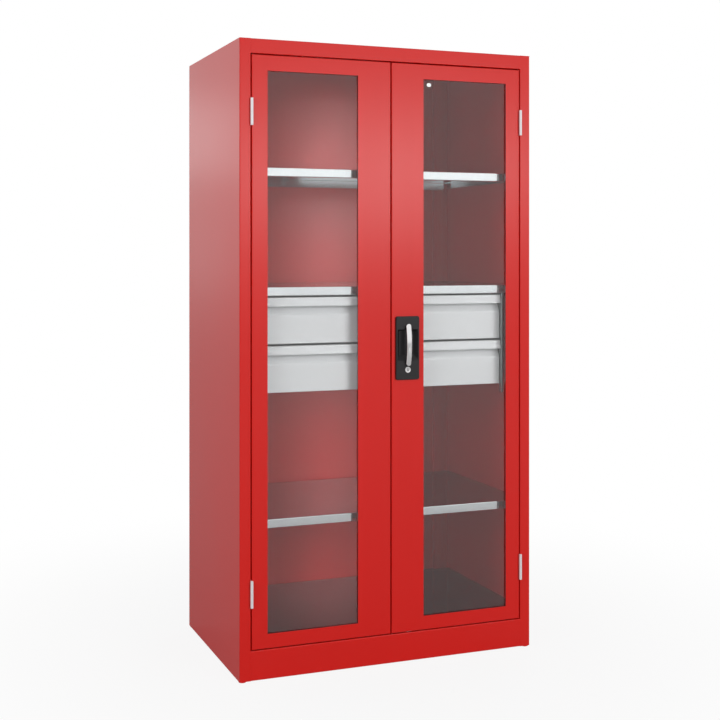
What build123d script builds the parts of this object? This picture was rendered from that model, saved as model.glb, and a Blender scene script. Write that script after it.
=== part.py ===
from build123d import *
import os

os.makedirs("parts", exist_ok=True)

# Heavy-duty two-door cabinet with glazed doors, three shelves and two drawers.
# Millimetres. +Z is up, the doors face -Y, and the origin is on the ground under the middle.

# Body of the cabinet, without the handle
width = 1000.0
depth = 600.0
height = 1950.0

# Folded sheet of the carcass
sheet = 1.5
inner_bend = 1.0
post_width = 35.5
post_depth = 24.0
post_lip = 12.0
rail_height = 45.0
rail_return = 26.0
rail_lip = 12.0
roof_flange = 15.0
roof_flange_inset = 40.0
plinth_height = 90.0
plinth_return = 28.0
plinth_toe = 20.0
butt_seam = 0.1
weld_bend = 0.3
floor_level = 116.0
floor_setback = 26.0
floor_flange = 20.0
floor_clearance = 0.5

# Feet in the corners, and the gussets beside them
foot_height = 3.0
foot_diameter = 23.0
foot_inset = 12.5
spigot_diameter = 17.0
spigot_height = 12.0
gusset_size = 60.0
gusset_sheet = 3.0

# Slots at the head of the back panel and at the foot of the uprights
wall_slot_length = 19.0
wall_slot_width = 14.0
wall_slot_inset = 77.0
wall_slot_drop = 21.0
foot_slot_height = 20.0
foot_slot_width = 10.0
foot_slot_pitch = 28.0
foot_slot_rise = 16.0

# Slotted strips and uprights that carry the shelves
slot_width = 17.0
slot_height = 4.0
slot_pitch = 23.0
slot_head_inset = 150.0
slot_base = 295.3
slot_from_wall = 11.5
strip_width = 32.0
upright_width = 36.0
upright_depth = 10.0
upright_wall_gap = 25.5
hook_play = 0.8
hook_slot_play = 0.4
lower_shelf_slot = 8
middle_shelf_slot = 39
upper_shelf_slot = 55

# Shelves and the rails under their ends
shelf_sheet = 1.2
shelf_lip = 27.0
shelf_return = 12.0
shelf_setback = 30.5
shelf_rear_gap = 2.0
shelf_end_clearance = 1.0
shelf_corner_cut = 22.0
rail_leg_width = 16.0
rail_leg_sheet = 2.5
rail_leg_drop = 20.0
rail_tongue = 5.0

# Drawers and the plates that carry them
drawer_face = 144.0
drawer_gap = 6.0
drawer_head_gap = 5.5
drawer_setback = 30.5
drawer_sheet = 1.5
grip_height = 27.0
grip_slope = 4.2
grip_depth = 26.0
grip_blend = 27.0
panel_recess = 12.5
panel_foot = 12.0
grip_bend = 3.0
blend_bend = 15.0
tray_sheet = 1.0
tray_rear_gap = 13.0
tray_head = 12.0
tray_foot = 14.0
carrier_clearance = 2.0
carrier_sheet = 1.5
carrier_flange = 5.5
carrier_post = 16.0
carrier_toe = 27.5
carrier_rear_gap = 33.5
bracket_length = 86.0
bracket_sheet = 2.0
bracket_flange = 20.0
bracket_height = 40.0
bracket_front = 70.0
bracket_rear = 75.0
bracket_inset = 50.0

# Telescopic drawer runners
runner_thickness = 12.7
runner_height = 45.0
runner_sheet = 1.2
runner_play = 0.4
runner_web_play = 0.8
runner_rear_gap = 20.0

# Doors
door_gap = 3.5
door_seam = 4.0
door_depth = 20.0
door_sheet = 1.2
door_edge_radius = 2.0
door_lip = 14.0
hinge_stile = 50.0
lock_stile = 111.0
window_sill = 44.0
window_head = 47.5
gasket_depth = 4.0
gasket_width = 7.0
pane_sheet = 3.0
pane_lap = 6.0
retainer_sheet = 1.5
retainer_reveal = 1.0
retainer_width = 15.0
fixing_offset = 10.5
fixing_radius = 2.0
fixing_clearance = 0.2
fixing_nut = 3.2
fixing_nut_radius = 4.0
fixing_rows = 5
fixing_end_inset = 90.0
stiffener_width = 50.0
stiffener_depth = 14.0
stiffener_inset = 20.0

# Hinges
hinge_radius = 4.65
hinge_length = 81.0
hinge_proud = 6.0
hinge_pin_radius = 2.75
hinge_running = 0.05
hinge_split = 0.4
hinge_leaf = 2.3
hinge_leaf_depth = 20.0
hinge_top_inset = 174.0
hinge_bottom_inset = 170.0

# Handle on the right door
handle_x = 55.0
spindle_height = 1066.0
dish_width = 81.0
dish_height = 201.5
dish_drop = 169.0
dish_proud = 7.0
dish_corner = 7.0
dish_edge = 2.0
well_width = 72.0
well_drop = 109.0
well_height = 100.0
well_floor_width = 50.0
well_floor_rise = 18.0
well_floor_drop = 4.0
well_depth = 7.0
well_wall = 2.0
well_corner = 5.0
dish_fit = 0.4
bore_play = 0.1
dish_screw_radius = 1.75
dish_screw_head = 3.5
dish_screw_head_height = 2.0
dish_screw_inset = 13.0
bow_width = 17.0
bow_thickness = 8.0
bow_rise = 8.0
bow_gap = 0.5
bow_drop = 124.0
spindle_radius = 4.5
spindle_tail_radius = 3.5
boss_radius = 5.7
boss_height = 4.0

# Lock behind the handle
cam_setback = 10.0
cam_sheet = 3.0
cam_width = 12.0
cam_pin_radius = 2.5
cam_throw = 12.73
rod_width = 13.3
rod_thickness = 3.0
rod_offset = 12.35
rod_play = 0.3
fork_play = 0.7
fork_wall = 4.0
fork_web = 3.0
guide_width = 22.0
guide_height = 16.0
guide_back = 18.0
guide_spindle_gap = 190.5
guide_cylinder_gap = 187.5
guide_end_inset = 45.0
guide_count = 3
keeper_length = 16.0
keeper_width = 7.0
case_width = 74.0
case_depth = 17.5
case_height = 60.0
case_sheet = 1.5
cylinder_radius = 9.25
cylinder_drop = 137.0
cylinder_length = 17.5
plug_radius = 6.0
plug_running = 0.1
key_slot_length = 8.0
key_slot_width = 1.6
key_slot_depth = 3.0
tongue_length = 15.0
tongue_width = 8.0
tongue_sheet = 2.0

# Planes and levels that the pieces share
half_width = width / 2
lever_reach = dish_proud + bow_gap + bow_rise + bow_thickness
front = (lever_reach - depth) / 2
back = front + depth
side_inner = half_width - sheet
back_inner = back - sheet
roof_under = height - sheet
post_inner = half_width - post_width
rail_bottom = height - rail_height
plinth_top = foot_height + plinth_height
bend = sheet + inner_bend
carcass_height = roof_under - foot_height

door_outer = post_inner - door_gap
door_inner = door_seam / 2
door_width = door_outer - door_inner
door_centre = (door_outer + door_inner) / 2
door_bottom = plinth_top + door_gap
door_top = rail_bottom - door_gap
door_height = door_top - door_bottom
door_middle = (door_top + door_bottom) / 2
skin_back = front + door_sheet
window_width = door_width - hinge_stile - lock_stile
window_centre = door_outer - hinge_stile - window_width / 2
window_height = door_height - window_sill - window_head
window_middle = door_bottom + window_sill + window_height / 2
pane_front = skin_back + gasket_depth
pane_back = pane_front + pane_sheet

upright_front = back_inner - upright_depth
upright_outer = side_inner - upright_wall_gap
upright_inner = upright_outer - upright_width
rear_flange = half_width - upright_outer - butt_seam
hook_room = upright_depth - bend - sheet
hook_width = hook_room - 2 * hook_play
hook_middle = upright_front + bend + hook_room / 2
slot_x = side_inner - slot_from_wall
slot_count = int((rail_bottom - slot_head_inset - slot_base) / slot_pitch) + 1
slot_middle = slot_base + slot_pitch * (slot_count - 1) / 2
shelf_front = front + shelf_setback
shelf_back = upright_front - shelf_rear_gap
shelf_depth = shelf_back - shelf_front
rail_leg_rise = rail_leg_sheet - slot_height / 2
shelf_slots = {"lower": lower_shelf_slot, "middle": middle_shelf_slot, "upper": upper_shelf_slot}
rail_tops = {name: slot_base + slot_pitch * slot + rail_leg_rise for name, slot in shelf_slots.items()}
shelf_levels = {name: top + shelf_sheet for name, top in rail_tops.items()}

carrier_outer = side_inner - bracket_length
carrier_inner = carrier_outer - carrier_sheet
carrier_top = shelf_levels["middle"] - shelf_lip
drawer_tops = {"upper": carrier_top - drawer_head_gap}
drawer_tops["lower"] = drawer_tops["upper"] - drawer_face - drawer_gap
drawer_foot = drawer_tops["lower"] - drawer_face
carrier_bottom = drawer_foot - carrier_toe
drawer_width = 2 * (carrier_inner - carrier_clearance)
drawer_front = front + drawer_setback
carrier_back = upright_front - carrier_rear_gap
tray_front = drawer_front + grip_depth
tray_length = carrier_back - tray_rear_gap - tray_front
tray_half = carrier_inner - runner_thickness
tray_height = drawer_face - tray_head - tray_foot
runner_front = tray_front + runner_sheet
runner_length = tray_length - runner_rear_gap

# Places that the door, the handle and the lock share
dish_bottom = spindle_height - dish_drop
dish_middle = dish_bottom + dish_height / 2
dish_top = dish_bottom + dish_height
dish_face = front - dish_proud
well_bottom = spindle_height - well_drop
well_middle = well_bottom + well_height / 2
well_floor_height = well_height - well_floor_rise - well_floor_drop
well_floor_middle = well_bottom + well_floor_rise + well_floor_height / 2
skin_share = dish_proud / (dish_proud + well_depth)
body_width = well_width + skin_share * (well_floor_width - well_width) + 2 * well_wall
body_height = well_height + skin_share * (well_floor_height - well_height) + 2 * well_wall
body_middle = well_middle + skin_share * (well_floor_middle - well_middle)
body_corner = well_corner + well_wall
cylinder_height = spindle_height - cylinder_drop
cam_front = front + cam_setback
rod_front = cam_front + cam_sheet + rod_play
rod_middle = rod_front + rod_thickness / 2
screw_levels = (dish_bottom + dish_screw_inset, dish_top - dish_screw_inset)

sides = {"left": -1, "right": 1}


# Folded sheet: the outer line of the section, with the sheet to one side of it
def folded_section(points, thickness, radius, side):
    with BuildSketch(mode=Mode.PRIVATE) as section:
        with BuildLine():
            FilletPolyline(*points, radius=radius)
            offset(amount=thickness, side=side)
        make_face()
    return section.sketch


# Side panels: the post, the wall and the rear flange are one folded sheet, whose front corner is
# ground square where the rail and the plinth meet it
post_runs = (
    (foot_height, plinth_top, weld_bend),
    (plinth_top, rail_bottom, bend),
    (rail_bottom, roof_under, weld_bend),
)
for hand, side in sides.items():
    sheet_side = Side.LEFT if side > 0 else Side.RIGHT
    side_line = (
        (side * (post_inner + post_lip), front + post_depth),
        (side * post_inner, front + post_depth),
        (side * post_inner, front),
        (side * half_width, front),
        (side * half_width, back_inner),
        (side * (half_width - rear_flange), back_inner),
    )
    with BuildPart() as side_panel:
        for low, high, corner in post_runs:
            with BuildSketch(Plane.XY.offset(low)):
                add(folded_section(side_line, sheet, (bend, corner, bend, bend), sheet_side))
            extrude(amount=high - low)
    side_panel.part.label = f"{hand}_side_panel"
    export_step(side_panel.part, f"parts/{hand}_side_panel.step")

# Back panel with the wall-fixing slots at its head
with BuildPart() as back_panel:
    with BuildSketch(Plane.XZ.offset(-back)):
        with Locations((0, foot_height + carcass_height / 2)):
            Rectangle(width, carcass_height)
        with Locations((0, height - wall_slot_drop)):
            with GridLocations(width - 2 * wall_slot_inset, 0, 2, 1):
                SlotOverall(wall_slot_length, wall_slot_width, mode=Mode.SUBTRACT)
    extrude(amount=sheet)
back_panel.part.label = "back_panel"
export_step(back_panel.part, "parts/back_panel.step")

# Top panel: the roof and the top rail are one folded sheet, with wings over the posts
rail_half = post_inner - butt_seam
wing_width = half_width - rail_half
top_line = (
    (back, height),
    (front, height),
    (front, rail_bottom),
    (front + rail_return, rail_bottom),
    (front + rail_return, rail_bottom + rail_lip),
)
with BuildPart() as top_panel:
    with BuildSketch(Plane.YZ.offset(-rail_half)):
        add(folded_section(top_line, sheet, bend, Side.LEFT))
    extrude(amount=2 * rail_half)
    with BuildSketch(Plane.XY.offset(roof_under)):
        with Locations((0, (front + back) / 2)):
            with GridLocations(2 * rail_half + wing_width, 0, 2, 1):
                Rectangle(wing_width, depth)
    extrude(amount=sheet)
    with BuildSketch(Plane.XY.offset(roof_under)):
        with Locations((0, (front + back) / 2)):
            with GridLocations(2 * side_inner - sheet, 0, 2, 1):
                Rectangle(sheet, depth - 2 * roof_flange_inset)
    extrude(amount=-roof_flange)
    with BuildSketch(Plane.XY.offset(rail_bottom)):
        with Locations((handle_x - rod_offset, rod_middle)):
            Rectangle(keeper_length, keeper_width)
    extrude(amount=sheet, mode=Mode.SUBTRACT)
top_panel.part.label = "top_panel"
export_step(top_panel.part, "parts/top_panel.step")

# Plinth: folded bottom rail between the posts, with a return for the floor and a toe
plinth_line = (
    (front + plinth_toe, foot_height),
    (front, foot_height),
    (front, plinth_top),
    (front + plinth_return, plinth_top),
)
with BuildPart() as plinth_panel:
    with BuildSketch(Plane.YZ.offset(-rail_half)):
        add(folded_section(plinth_line, sheet, bend, Side.RIGHT))
    extrude(amount=2 * rail_half)
    with BuildSketch(Plane.XY.offset(plinth_top)):
        with Locations((handle_x + rod_offset, rod_middle)):
            Rectangle(keeper_length, keeper_width)
    extrude(amount=-sheet, mode=Mode.SUBTRACT)
plinth_panel.part.label = "plinth_panel"
export_step(plinth_panel.part, "parts/plinth_panel.step")

# Floor: folded down at the front onto the plinth, and at the back
floor_back = upright_front - floor_clearance
floor_line = (
    (front + floor_setback, plinth_top),
    (front + floor_setback, floor_level),
    (floor_back, floor_level),
    (floor_back, floor_level - floor_flange),
)
floor_tongue = 2 * (upright_inner - floor_clearance)
with BuildPart() as floor_panel:
    with BuildSketch(Plane.YZ.offset(-side_inner)):
        add(folded_section(floor_line, sheet, bend, Side.RIGHT))
    extrude(amount=2 * side_inner)
    with BuildSketch(Plane.XY.offset(floor_level)):
        with Locations((0, (floor_back - bend + back_inner) / 2)):
            Rectangle(floor_tongue, back_inner - floor_back + bend)
    extrude(amount=-sheet)
floor_panel.part.label = "floor_panel"
export_step(floor_panel.part, "parts/floor_panel.step")

# Corner gussets, set inside the side panels, and the feet plugged into the corners
gusset_span_x = 2 * side_inner - gusset_size
gusset_span_y = depth - 2 * post_depth - gusset_size
with BuildPart() as corner_gussets:
    with BuildSketch(Plane.XY.offset(foot_height)):
        with Locations((0, (front + back) / 2)):
            with GridLocations(gusset_span_x, gusset_span_y, 2, 2):
                Rectangle(gusset_size, gusset_size)
    extrude(amount=gusset_sheet)
corner_gussets.part.label = "corner_gussets"
export_step(corner_gussets.part, "parts/corner_gussets.step")

with BuildPart() as feet:
    for diameter, tall in ((foot_diameter, foot_height), (spigot_diameter, foot_height + spigot_height)):
        with BuildSketch():
            with Locations((0, (front + back) / 2)):
                with GridLocations(width - 2 * foot_inset, depth - 2 * foot_inset, 2, 2):
                    Circle(diameter / 2)
        extrude(amount=tall)
feet.part.label = "feet"
export_step(feet.part, "parts/feet.step")

# Slotted strips behind the posts
strip_height = rail_bottom - floor_level
with BuildPart() as front_shelf_strips:
    with BuildSketch(Plane.XZ.offset(-(front + post_depth))):
        with Locations((0, floor_level + strip_height / 2)):
            with GridLocations(2 * side_inner - strip_width, 0, 2, 1):
                Rectangle(strip_width, strip_height)
        with Locations((0, slot_middle)):
            with GridLocations(2 * slot_x, slot_pitch, 2, slot_count):
                Rectangle(slot_width, slot_height, mode=Mode.SUBTRACT)
    extrude(amount=-sheet)
front_shelf_strips.part.label = "front_shelf_strips"
export_step(front_shelf_strips.part, "parts/front_shelf_strips.step")

# Uprights on the back panel: the shelves hook into slots in the flange that faces the side wall
with BuildPart() as rear_uprights:
    for side in sides.values():
        upright_line = (
            (side * upright_outer, back_inner),
            (side * upright_outer, upright_front),
            (side * upright_inner, upright_front),
            (side * upright_inner, back_inner),
        )
        with BuildSketch(Plane.XY.offset(foot_height)):
            add(folded_section(upright_line, sheet, bend, Side.RIGHT if side > 0 else Side.LEFT))
        extrude(amount=carcass_height)
        with BuildSketch(Plane.YZ.offset(side * upright_outer)):
            with Locations((hook_middle, slot_middle)):
                with GridLocations(0, slot_pitch, 1, slot_count):
                    Rectangle(hook_width + 2 * hook_slot_play, slot_height)
        extrude(amount=-side * sheet, mode=Mode.SUBTRACT)
    with BuildSketch(Plane.XZ.offset(-upright_front)):
        with Locations((0, floor_level + foot_slot_rise + foot_slot_pitch / 2)):
            with GridLocations(upright_outer + upright_inner, foot_slot_pitch, 2, 2):
                SlotOverall(foot_slot_height, foot_slot_width, rotation=90)
    extrude(amount=-sheet, mode=Mode.SUBTRACT)
rear_uprights.part.label = "rear_uprights"
export_step(rear_uprights.part, "parts/rear_uprights.step")

# Rails under the shelf ends, hooked into the strips and uprights by their tongues
rail_wall = slot_x + rail_leg_width / 2
rail_nose = front + post_depth - rail_tongue
rail_tail = hook_middle + hook_width / 2
with BuildPart() as shelf_rails:
    for top in rail_tops.values():
        with BuildSketch(Plane.XY.offset(top)):
            with Locations((0, (rail_nose + rail_tail) / 2)):
                with GridLocations(2 * slot_x, 0, 2, 1):
                    Rectangle(rail_leg_width, rail_tail - rail_nose)
            with Locations((0, hook_middle)):
                with GridLocations(slot_x + upright_outer - rail_tongue, 0, 2, 1):
                    Rectangle(slot_x - upright_outer + rail_tongue, hook_width)
        extrude(amount=-rail_leg_sheet)
        with BuildSketch(Plane.XY.offset(top)):
            with Locations((0, (shelf_front + shelf_back) / 2)):
                with GridLocations(2 * rail_wall - rail_leg_sheet, 0, 2, 1):
                    Rectangle(rail_leg_sheet, shelf_depth)
        extrude(amount=-rail_leg_drop)
shelf_rails.part.label = "shelf_rails"
export_step(shelf_rails.part, "parts/shelf_rails.step")

# Shelves: a folded tray with a front and a rear lip that end beside the rails, its rear corners cut
shelf_half = side_inner - shelf_end_clearance
lip_half = slot_x - rail_leg_width / 2 - shelf_end_clearance
for name, level in shelf_levels.items():
    shelf_line = (
        (shelf_front + shelf_return, level - shelf_lip),
        (shelf_front, level - shelf_lip),
        (shelf_front, level),
        (shelf_back, level),
        (shelf_back, level - shelf_lip),
    )
    with BuildPart() as shelf:
        with BuildSketch(Plane.YZ.offset(-shelf_half)):
            add(folded_section(shelf_line, shelf_sheet, shelf_sheet + inner_bend, Side.RIGHT))
        extrude(amount=2 * shelf_half)
        with BuildSketch(Plane.XY.offset(level)):
            for side in sides.values():
                with BuildLine():
                    Polyline(
                        (side * shelf_half, shelf_back),
                        (side * (shelf_half - shelf_corner_cut), shelf_back),
                        (side * shelf_half, shelf_back - shelf_corner_cut),
                        close=True,
                    )
                make_face()
        extrude(amount=-shelf_lip, mode=Mode.SUBTRACT)
        with BuildSketch(Plane.XY.offset(level - shelf_sheet)):
            with Locations((0, (shelf_front + shelf_back) / 2)):
                with GridLocations(shelf_half + lip_half, 0, 2, 1):
                    Rectangle(shelf_half - lip_half, shelf_depth)
        extrude(amount=-shelf_lip, mode=Mode.SUBTRACT)
    shelf.part.label = f"{name}_shelf"
    export_step(shelf.part, f"parts/{name}_shelf.step")

# Drawer carriers: upright plates with an outward flange at the front and the back, and a front post
# that reaches below the drawers
for hand, side in sides.items():
    carrier_line = (
        (side * (carrier_inner + carrier_flange), drawer_front),
        (side * carrier_inner, drawer_front),
        (side * carrier_inner, carrier_back),
        (side * (carrier_inner + carrier_flange), carrier_back),
    )
    with BuildPart() as drawer_carrier:
        with BuildSketch(Plane.XY.offset(carrier_bottom)):
            add(
                folded_section(
                    carrier_line,
                    carrier_sheet,
                    carrier_sheet + inner_bend,
                    Side.RIGHT if side > 0 else Side.LEFT,
                )
            )
        extrude(amount=carrier_top - carrier_bottom)
        with BuildSketch(Plane.XY.offset(carrier_bottom)):
            with Locations((side * carrier_inner, (drawer_front + carrier_post + carrier_back) / 2)):
                Rectangle(3 * carrier_flange, carrier_back - drawer_front - carrier_post)
        extrude(amount=carrier_toe, mode=Mode.SUBTRACT)
    drawer_carrier.part.label = f"{hand}_drawer_carrier"
    export_step(drawer_carrier.part, f"parts/{hand}_drawer_carrier.step")

# Channels that hold the carriers off the side walls
bracket_levels = (drawer_foot + bracket_inset, carrier_top - bracket_inset)
bracket_stations = (drawer_front + bracket_front, carrier_back - bracket_rear)
with BuildPart() as carrier_brackets:
    for side in sides.values():
        for station in bracket_stations:
            bracket_line = (
                (side * carrier_outer, station + bracket_flange),
                (side * carrier_outer, station),
                (side * side_inner, station),
                (side * side_inner, station + bracket_flange),
            )
            for level in bracket_levels:
                with BuildSketch(Plane.XY.offset(level - bracket_height / 2)):
                    add(
                        folded_section(
                            bracket_line,
                            bracket_sheet,
                            bracket_sheet + inner_bend,
                            Side.LEFT if side > 0 else Side.RIGHT,
                        )
                    )
                extrude(amount=bracket_height)
carrier_brackets.part.label = "carrier_brackets"
export_step(carrier_brackets.part, "parts/carrier_brackets.step")


# One runner member: a channel whose web is at web_x and whose legs point to mouth_x
def runner_channel(web_x, mouth_x, half_height):
    line = (
        (mouth_x, -half_height),
        (web_x, -half_height),
        (web_x, half_height),
        (mouth_x, half_height),
    )
    return folded_section(line, runner_sheet, runner_sheet, Side.LEFT if mouth_x < web_x else Side.RIGHT)


runner_half = runner_height / 2
middle_half = runner_half - runner_sheet - runner_play
member_half = middle_half - runner_sheet - runner_play
cabinet_web = carrier_inner
middle_web = cabinet_web - runner_sheet - runner_web_play
member_web = tray_half
cabinet_mouth = member_web + runner_sheet + 2 * runner_play
middle_mouth = member_web + runner_sheet + runner_play
member_mouth = middle_web - runner_sheet - runner_web_play
runner_levels = {name: top - tray_head - tray_height / 2 for name, top in drawer_tops.items()}

with BuildPart() as runner_cabinet_members:
    for level in runner_levels.values():
        for side in sides.values():
            with BuildSketch(Plane.XZ.offset(-runner_front)):
                with Locations((0, level)):
                    add(runner_channel(side * cabinet_web, side * cabinet_mouth, runner_half))
            extrude(amount=-runner_length)
runner_cabinet_members.part.label = "runner_cabinet_members"
export_step(runner_cabinet_members.part, "parts/runner_cabinet_members.step")

for name, level in runner_levels.items():
    with BuildPart() as runner_middle_members:
        for side in sides.values():
            with BuildSketch(Plane.XZ.offset(-runner_front)):
                with Locations((0, level)):
                    add(runner_channel(side * middle_web, side * middle_mouth, middle_half))
            extrude(amount=-runner_length)
    runner_middle_members.part.label = f"{name}_runner_middle_members"
    export_step(runner_middle_members.part, f"parts/{name}_runner_middle_members.step")

    with BuildPart() as runner_drawer_members:
        for side in sides.values():
            with BuildSketch(Plane.XZ.offset(-runner_front)):
                with Locations((0, level)):
                    add(runner_channel(side * member_web, side * member_mouth, member_half))
            extrude(amount=-runner_length)
    runner_drawer_members.part.label = f"{name}_runner_drawer_members"
    export_step(runner_drawer_members.part, f"parts/{name}_runner_drawer_members.step")

# Drawers: a folded front with a full-width grip, and an open tray behind it
for name, top in drawer_tops.items():
    panel_face = drawer_front + panel_recess
    grip_back = drawer_front + grip_depth
    foot = top - drawer_face + drawer_sheet
    blend_top = top - grip_height - drawer_sheet
    front_line = (
        (drawer_front, top - grip_height),
        (drawer_front + grip_slope, top),
        (grip_back, top),
        (grip_back, blend_top),
        (panel_face, blend_top - grip_blend),
        (panel_face, foot),
        (panel_face + panel_foot, foot),
    )
    front_bends = (grip_bend, grip_bend, blend_bend, blend_bend, inner_bend)
    with BuildPart() as drawer_face_panel:
        with BuildSketch(Plane.YZ.offset(-drawer_width / 2)):
            add(folded_section(front_line, drawer_sheet, front_bends, Side.RIGHT))
        extrude(amount=drawer_width)
    drawer_face_panel.part.label = f"{name}_drawer_front"
    export_step(drawer_face_panel.part, f"parts/{name}_drawer_front.step")

    with BuildPart() as drawer_tray:
        with BuildSketch(Plane.XY.offset(top - drawer_face + tray_foot)):
            with Locations((0, tray_front + tray_length / 2)):
                Rectangle(2 * tray_half, tray_length)
        extrude(amount=tray_height)
        offset(amount=-tray_sheet, openings=drawer_tray.faces().sort_by(Axis.Z)[-1])
    drawer_tray.part.label = f"{name}_drawer_tray"
    export_step(drawer_tray.part, f"parts/{name}_drawer_tray.step")

# Hinges: the lower knuckle is on the post, the upper one on the door, with a pin through both
hinge_x = (post_inner + door_outer) / 2
hinge_y = front - hinge_proud
hinge_levels = (door_bottom + hinge_bottom_inset, door_top - hinge_top_inset)
knuckle_length = (hinge_length - hinge_split) / 2
leaf_length = hinge_proud + hinge_leaf_depth
leaf_middle = hinge_y + leaf_length / 2
pin_bore = hinge_pin_radius + hinge_running

with BuildPart() as hinge_pins:
    for level in hinge_levels:
        with BuildSketch(Plane.XY.offset(level - hinge_length / 2)):
            with Locations((-hinge_x, hinge_y), (hinge_x, hinge_y)):
                Circle(hinge_pin_radius)
        extrude(amount=hinge_length)
hinge_pins.part.label = "hinge_pins"
export_step(hinge_pins.part, "parts/hinge_pins.step")

for hand, side in sides.items():
    knuckles = {
        "frame": (post_inner - hinge_leaf / 2, -hinge_length / 2),
        "door": (door_outer + hinge_leaf / 2, hinge_split / 2),
    }
    for owner, (leaf_x, rise) in knuckles.items():
        with BuildPart() as hinge_knuckles:
            for level in hinge_levels:
                with BuildSketch(Plane.XY.offset(level + rise)):
                    with Locations((side * hinge_x, hinge_y)):
                        Circle(hinge_radius)
                    with Locations((side * leaf_x, leaf_middle)):
                        Rectangle(hinge_leaf, leaf_length)
                    with Locations((side * hinge_x, hinge_y)):
                        Circle(pin_bore, mode=Mode.SUBTRACT)
                extrude(amount=knuckle_length)
        hinge_knuckles.part.label = f"{hand}_hinge_{owner}_knuckles"
        export_step(hinge_knuckles.part, f"parts/{hand}_hinge_{owner}_knuckles.step")

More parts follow.
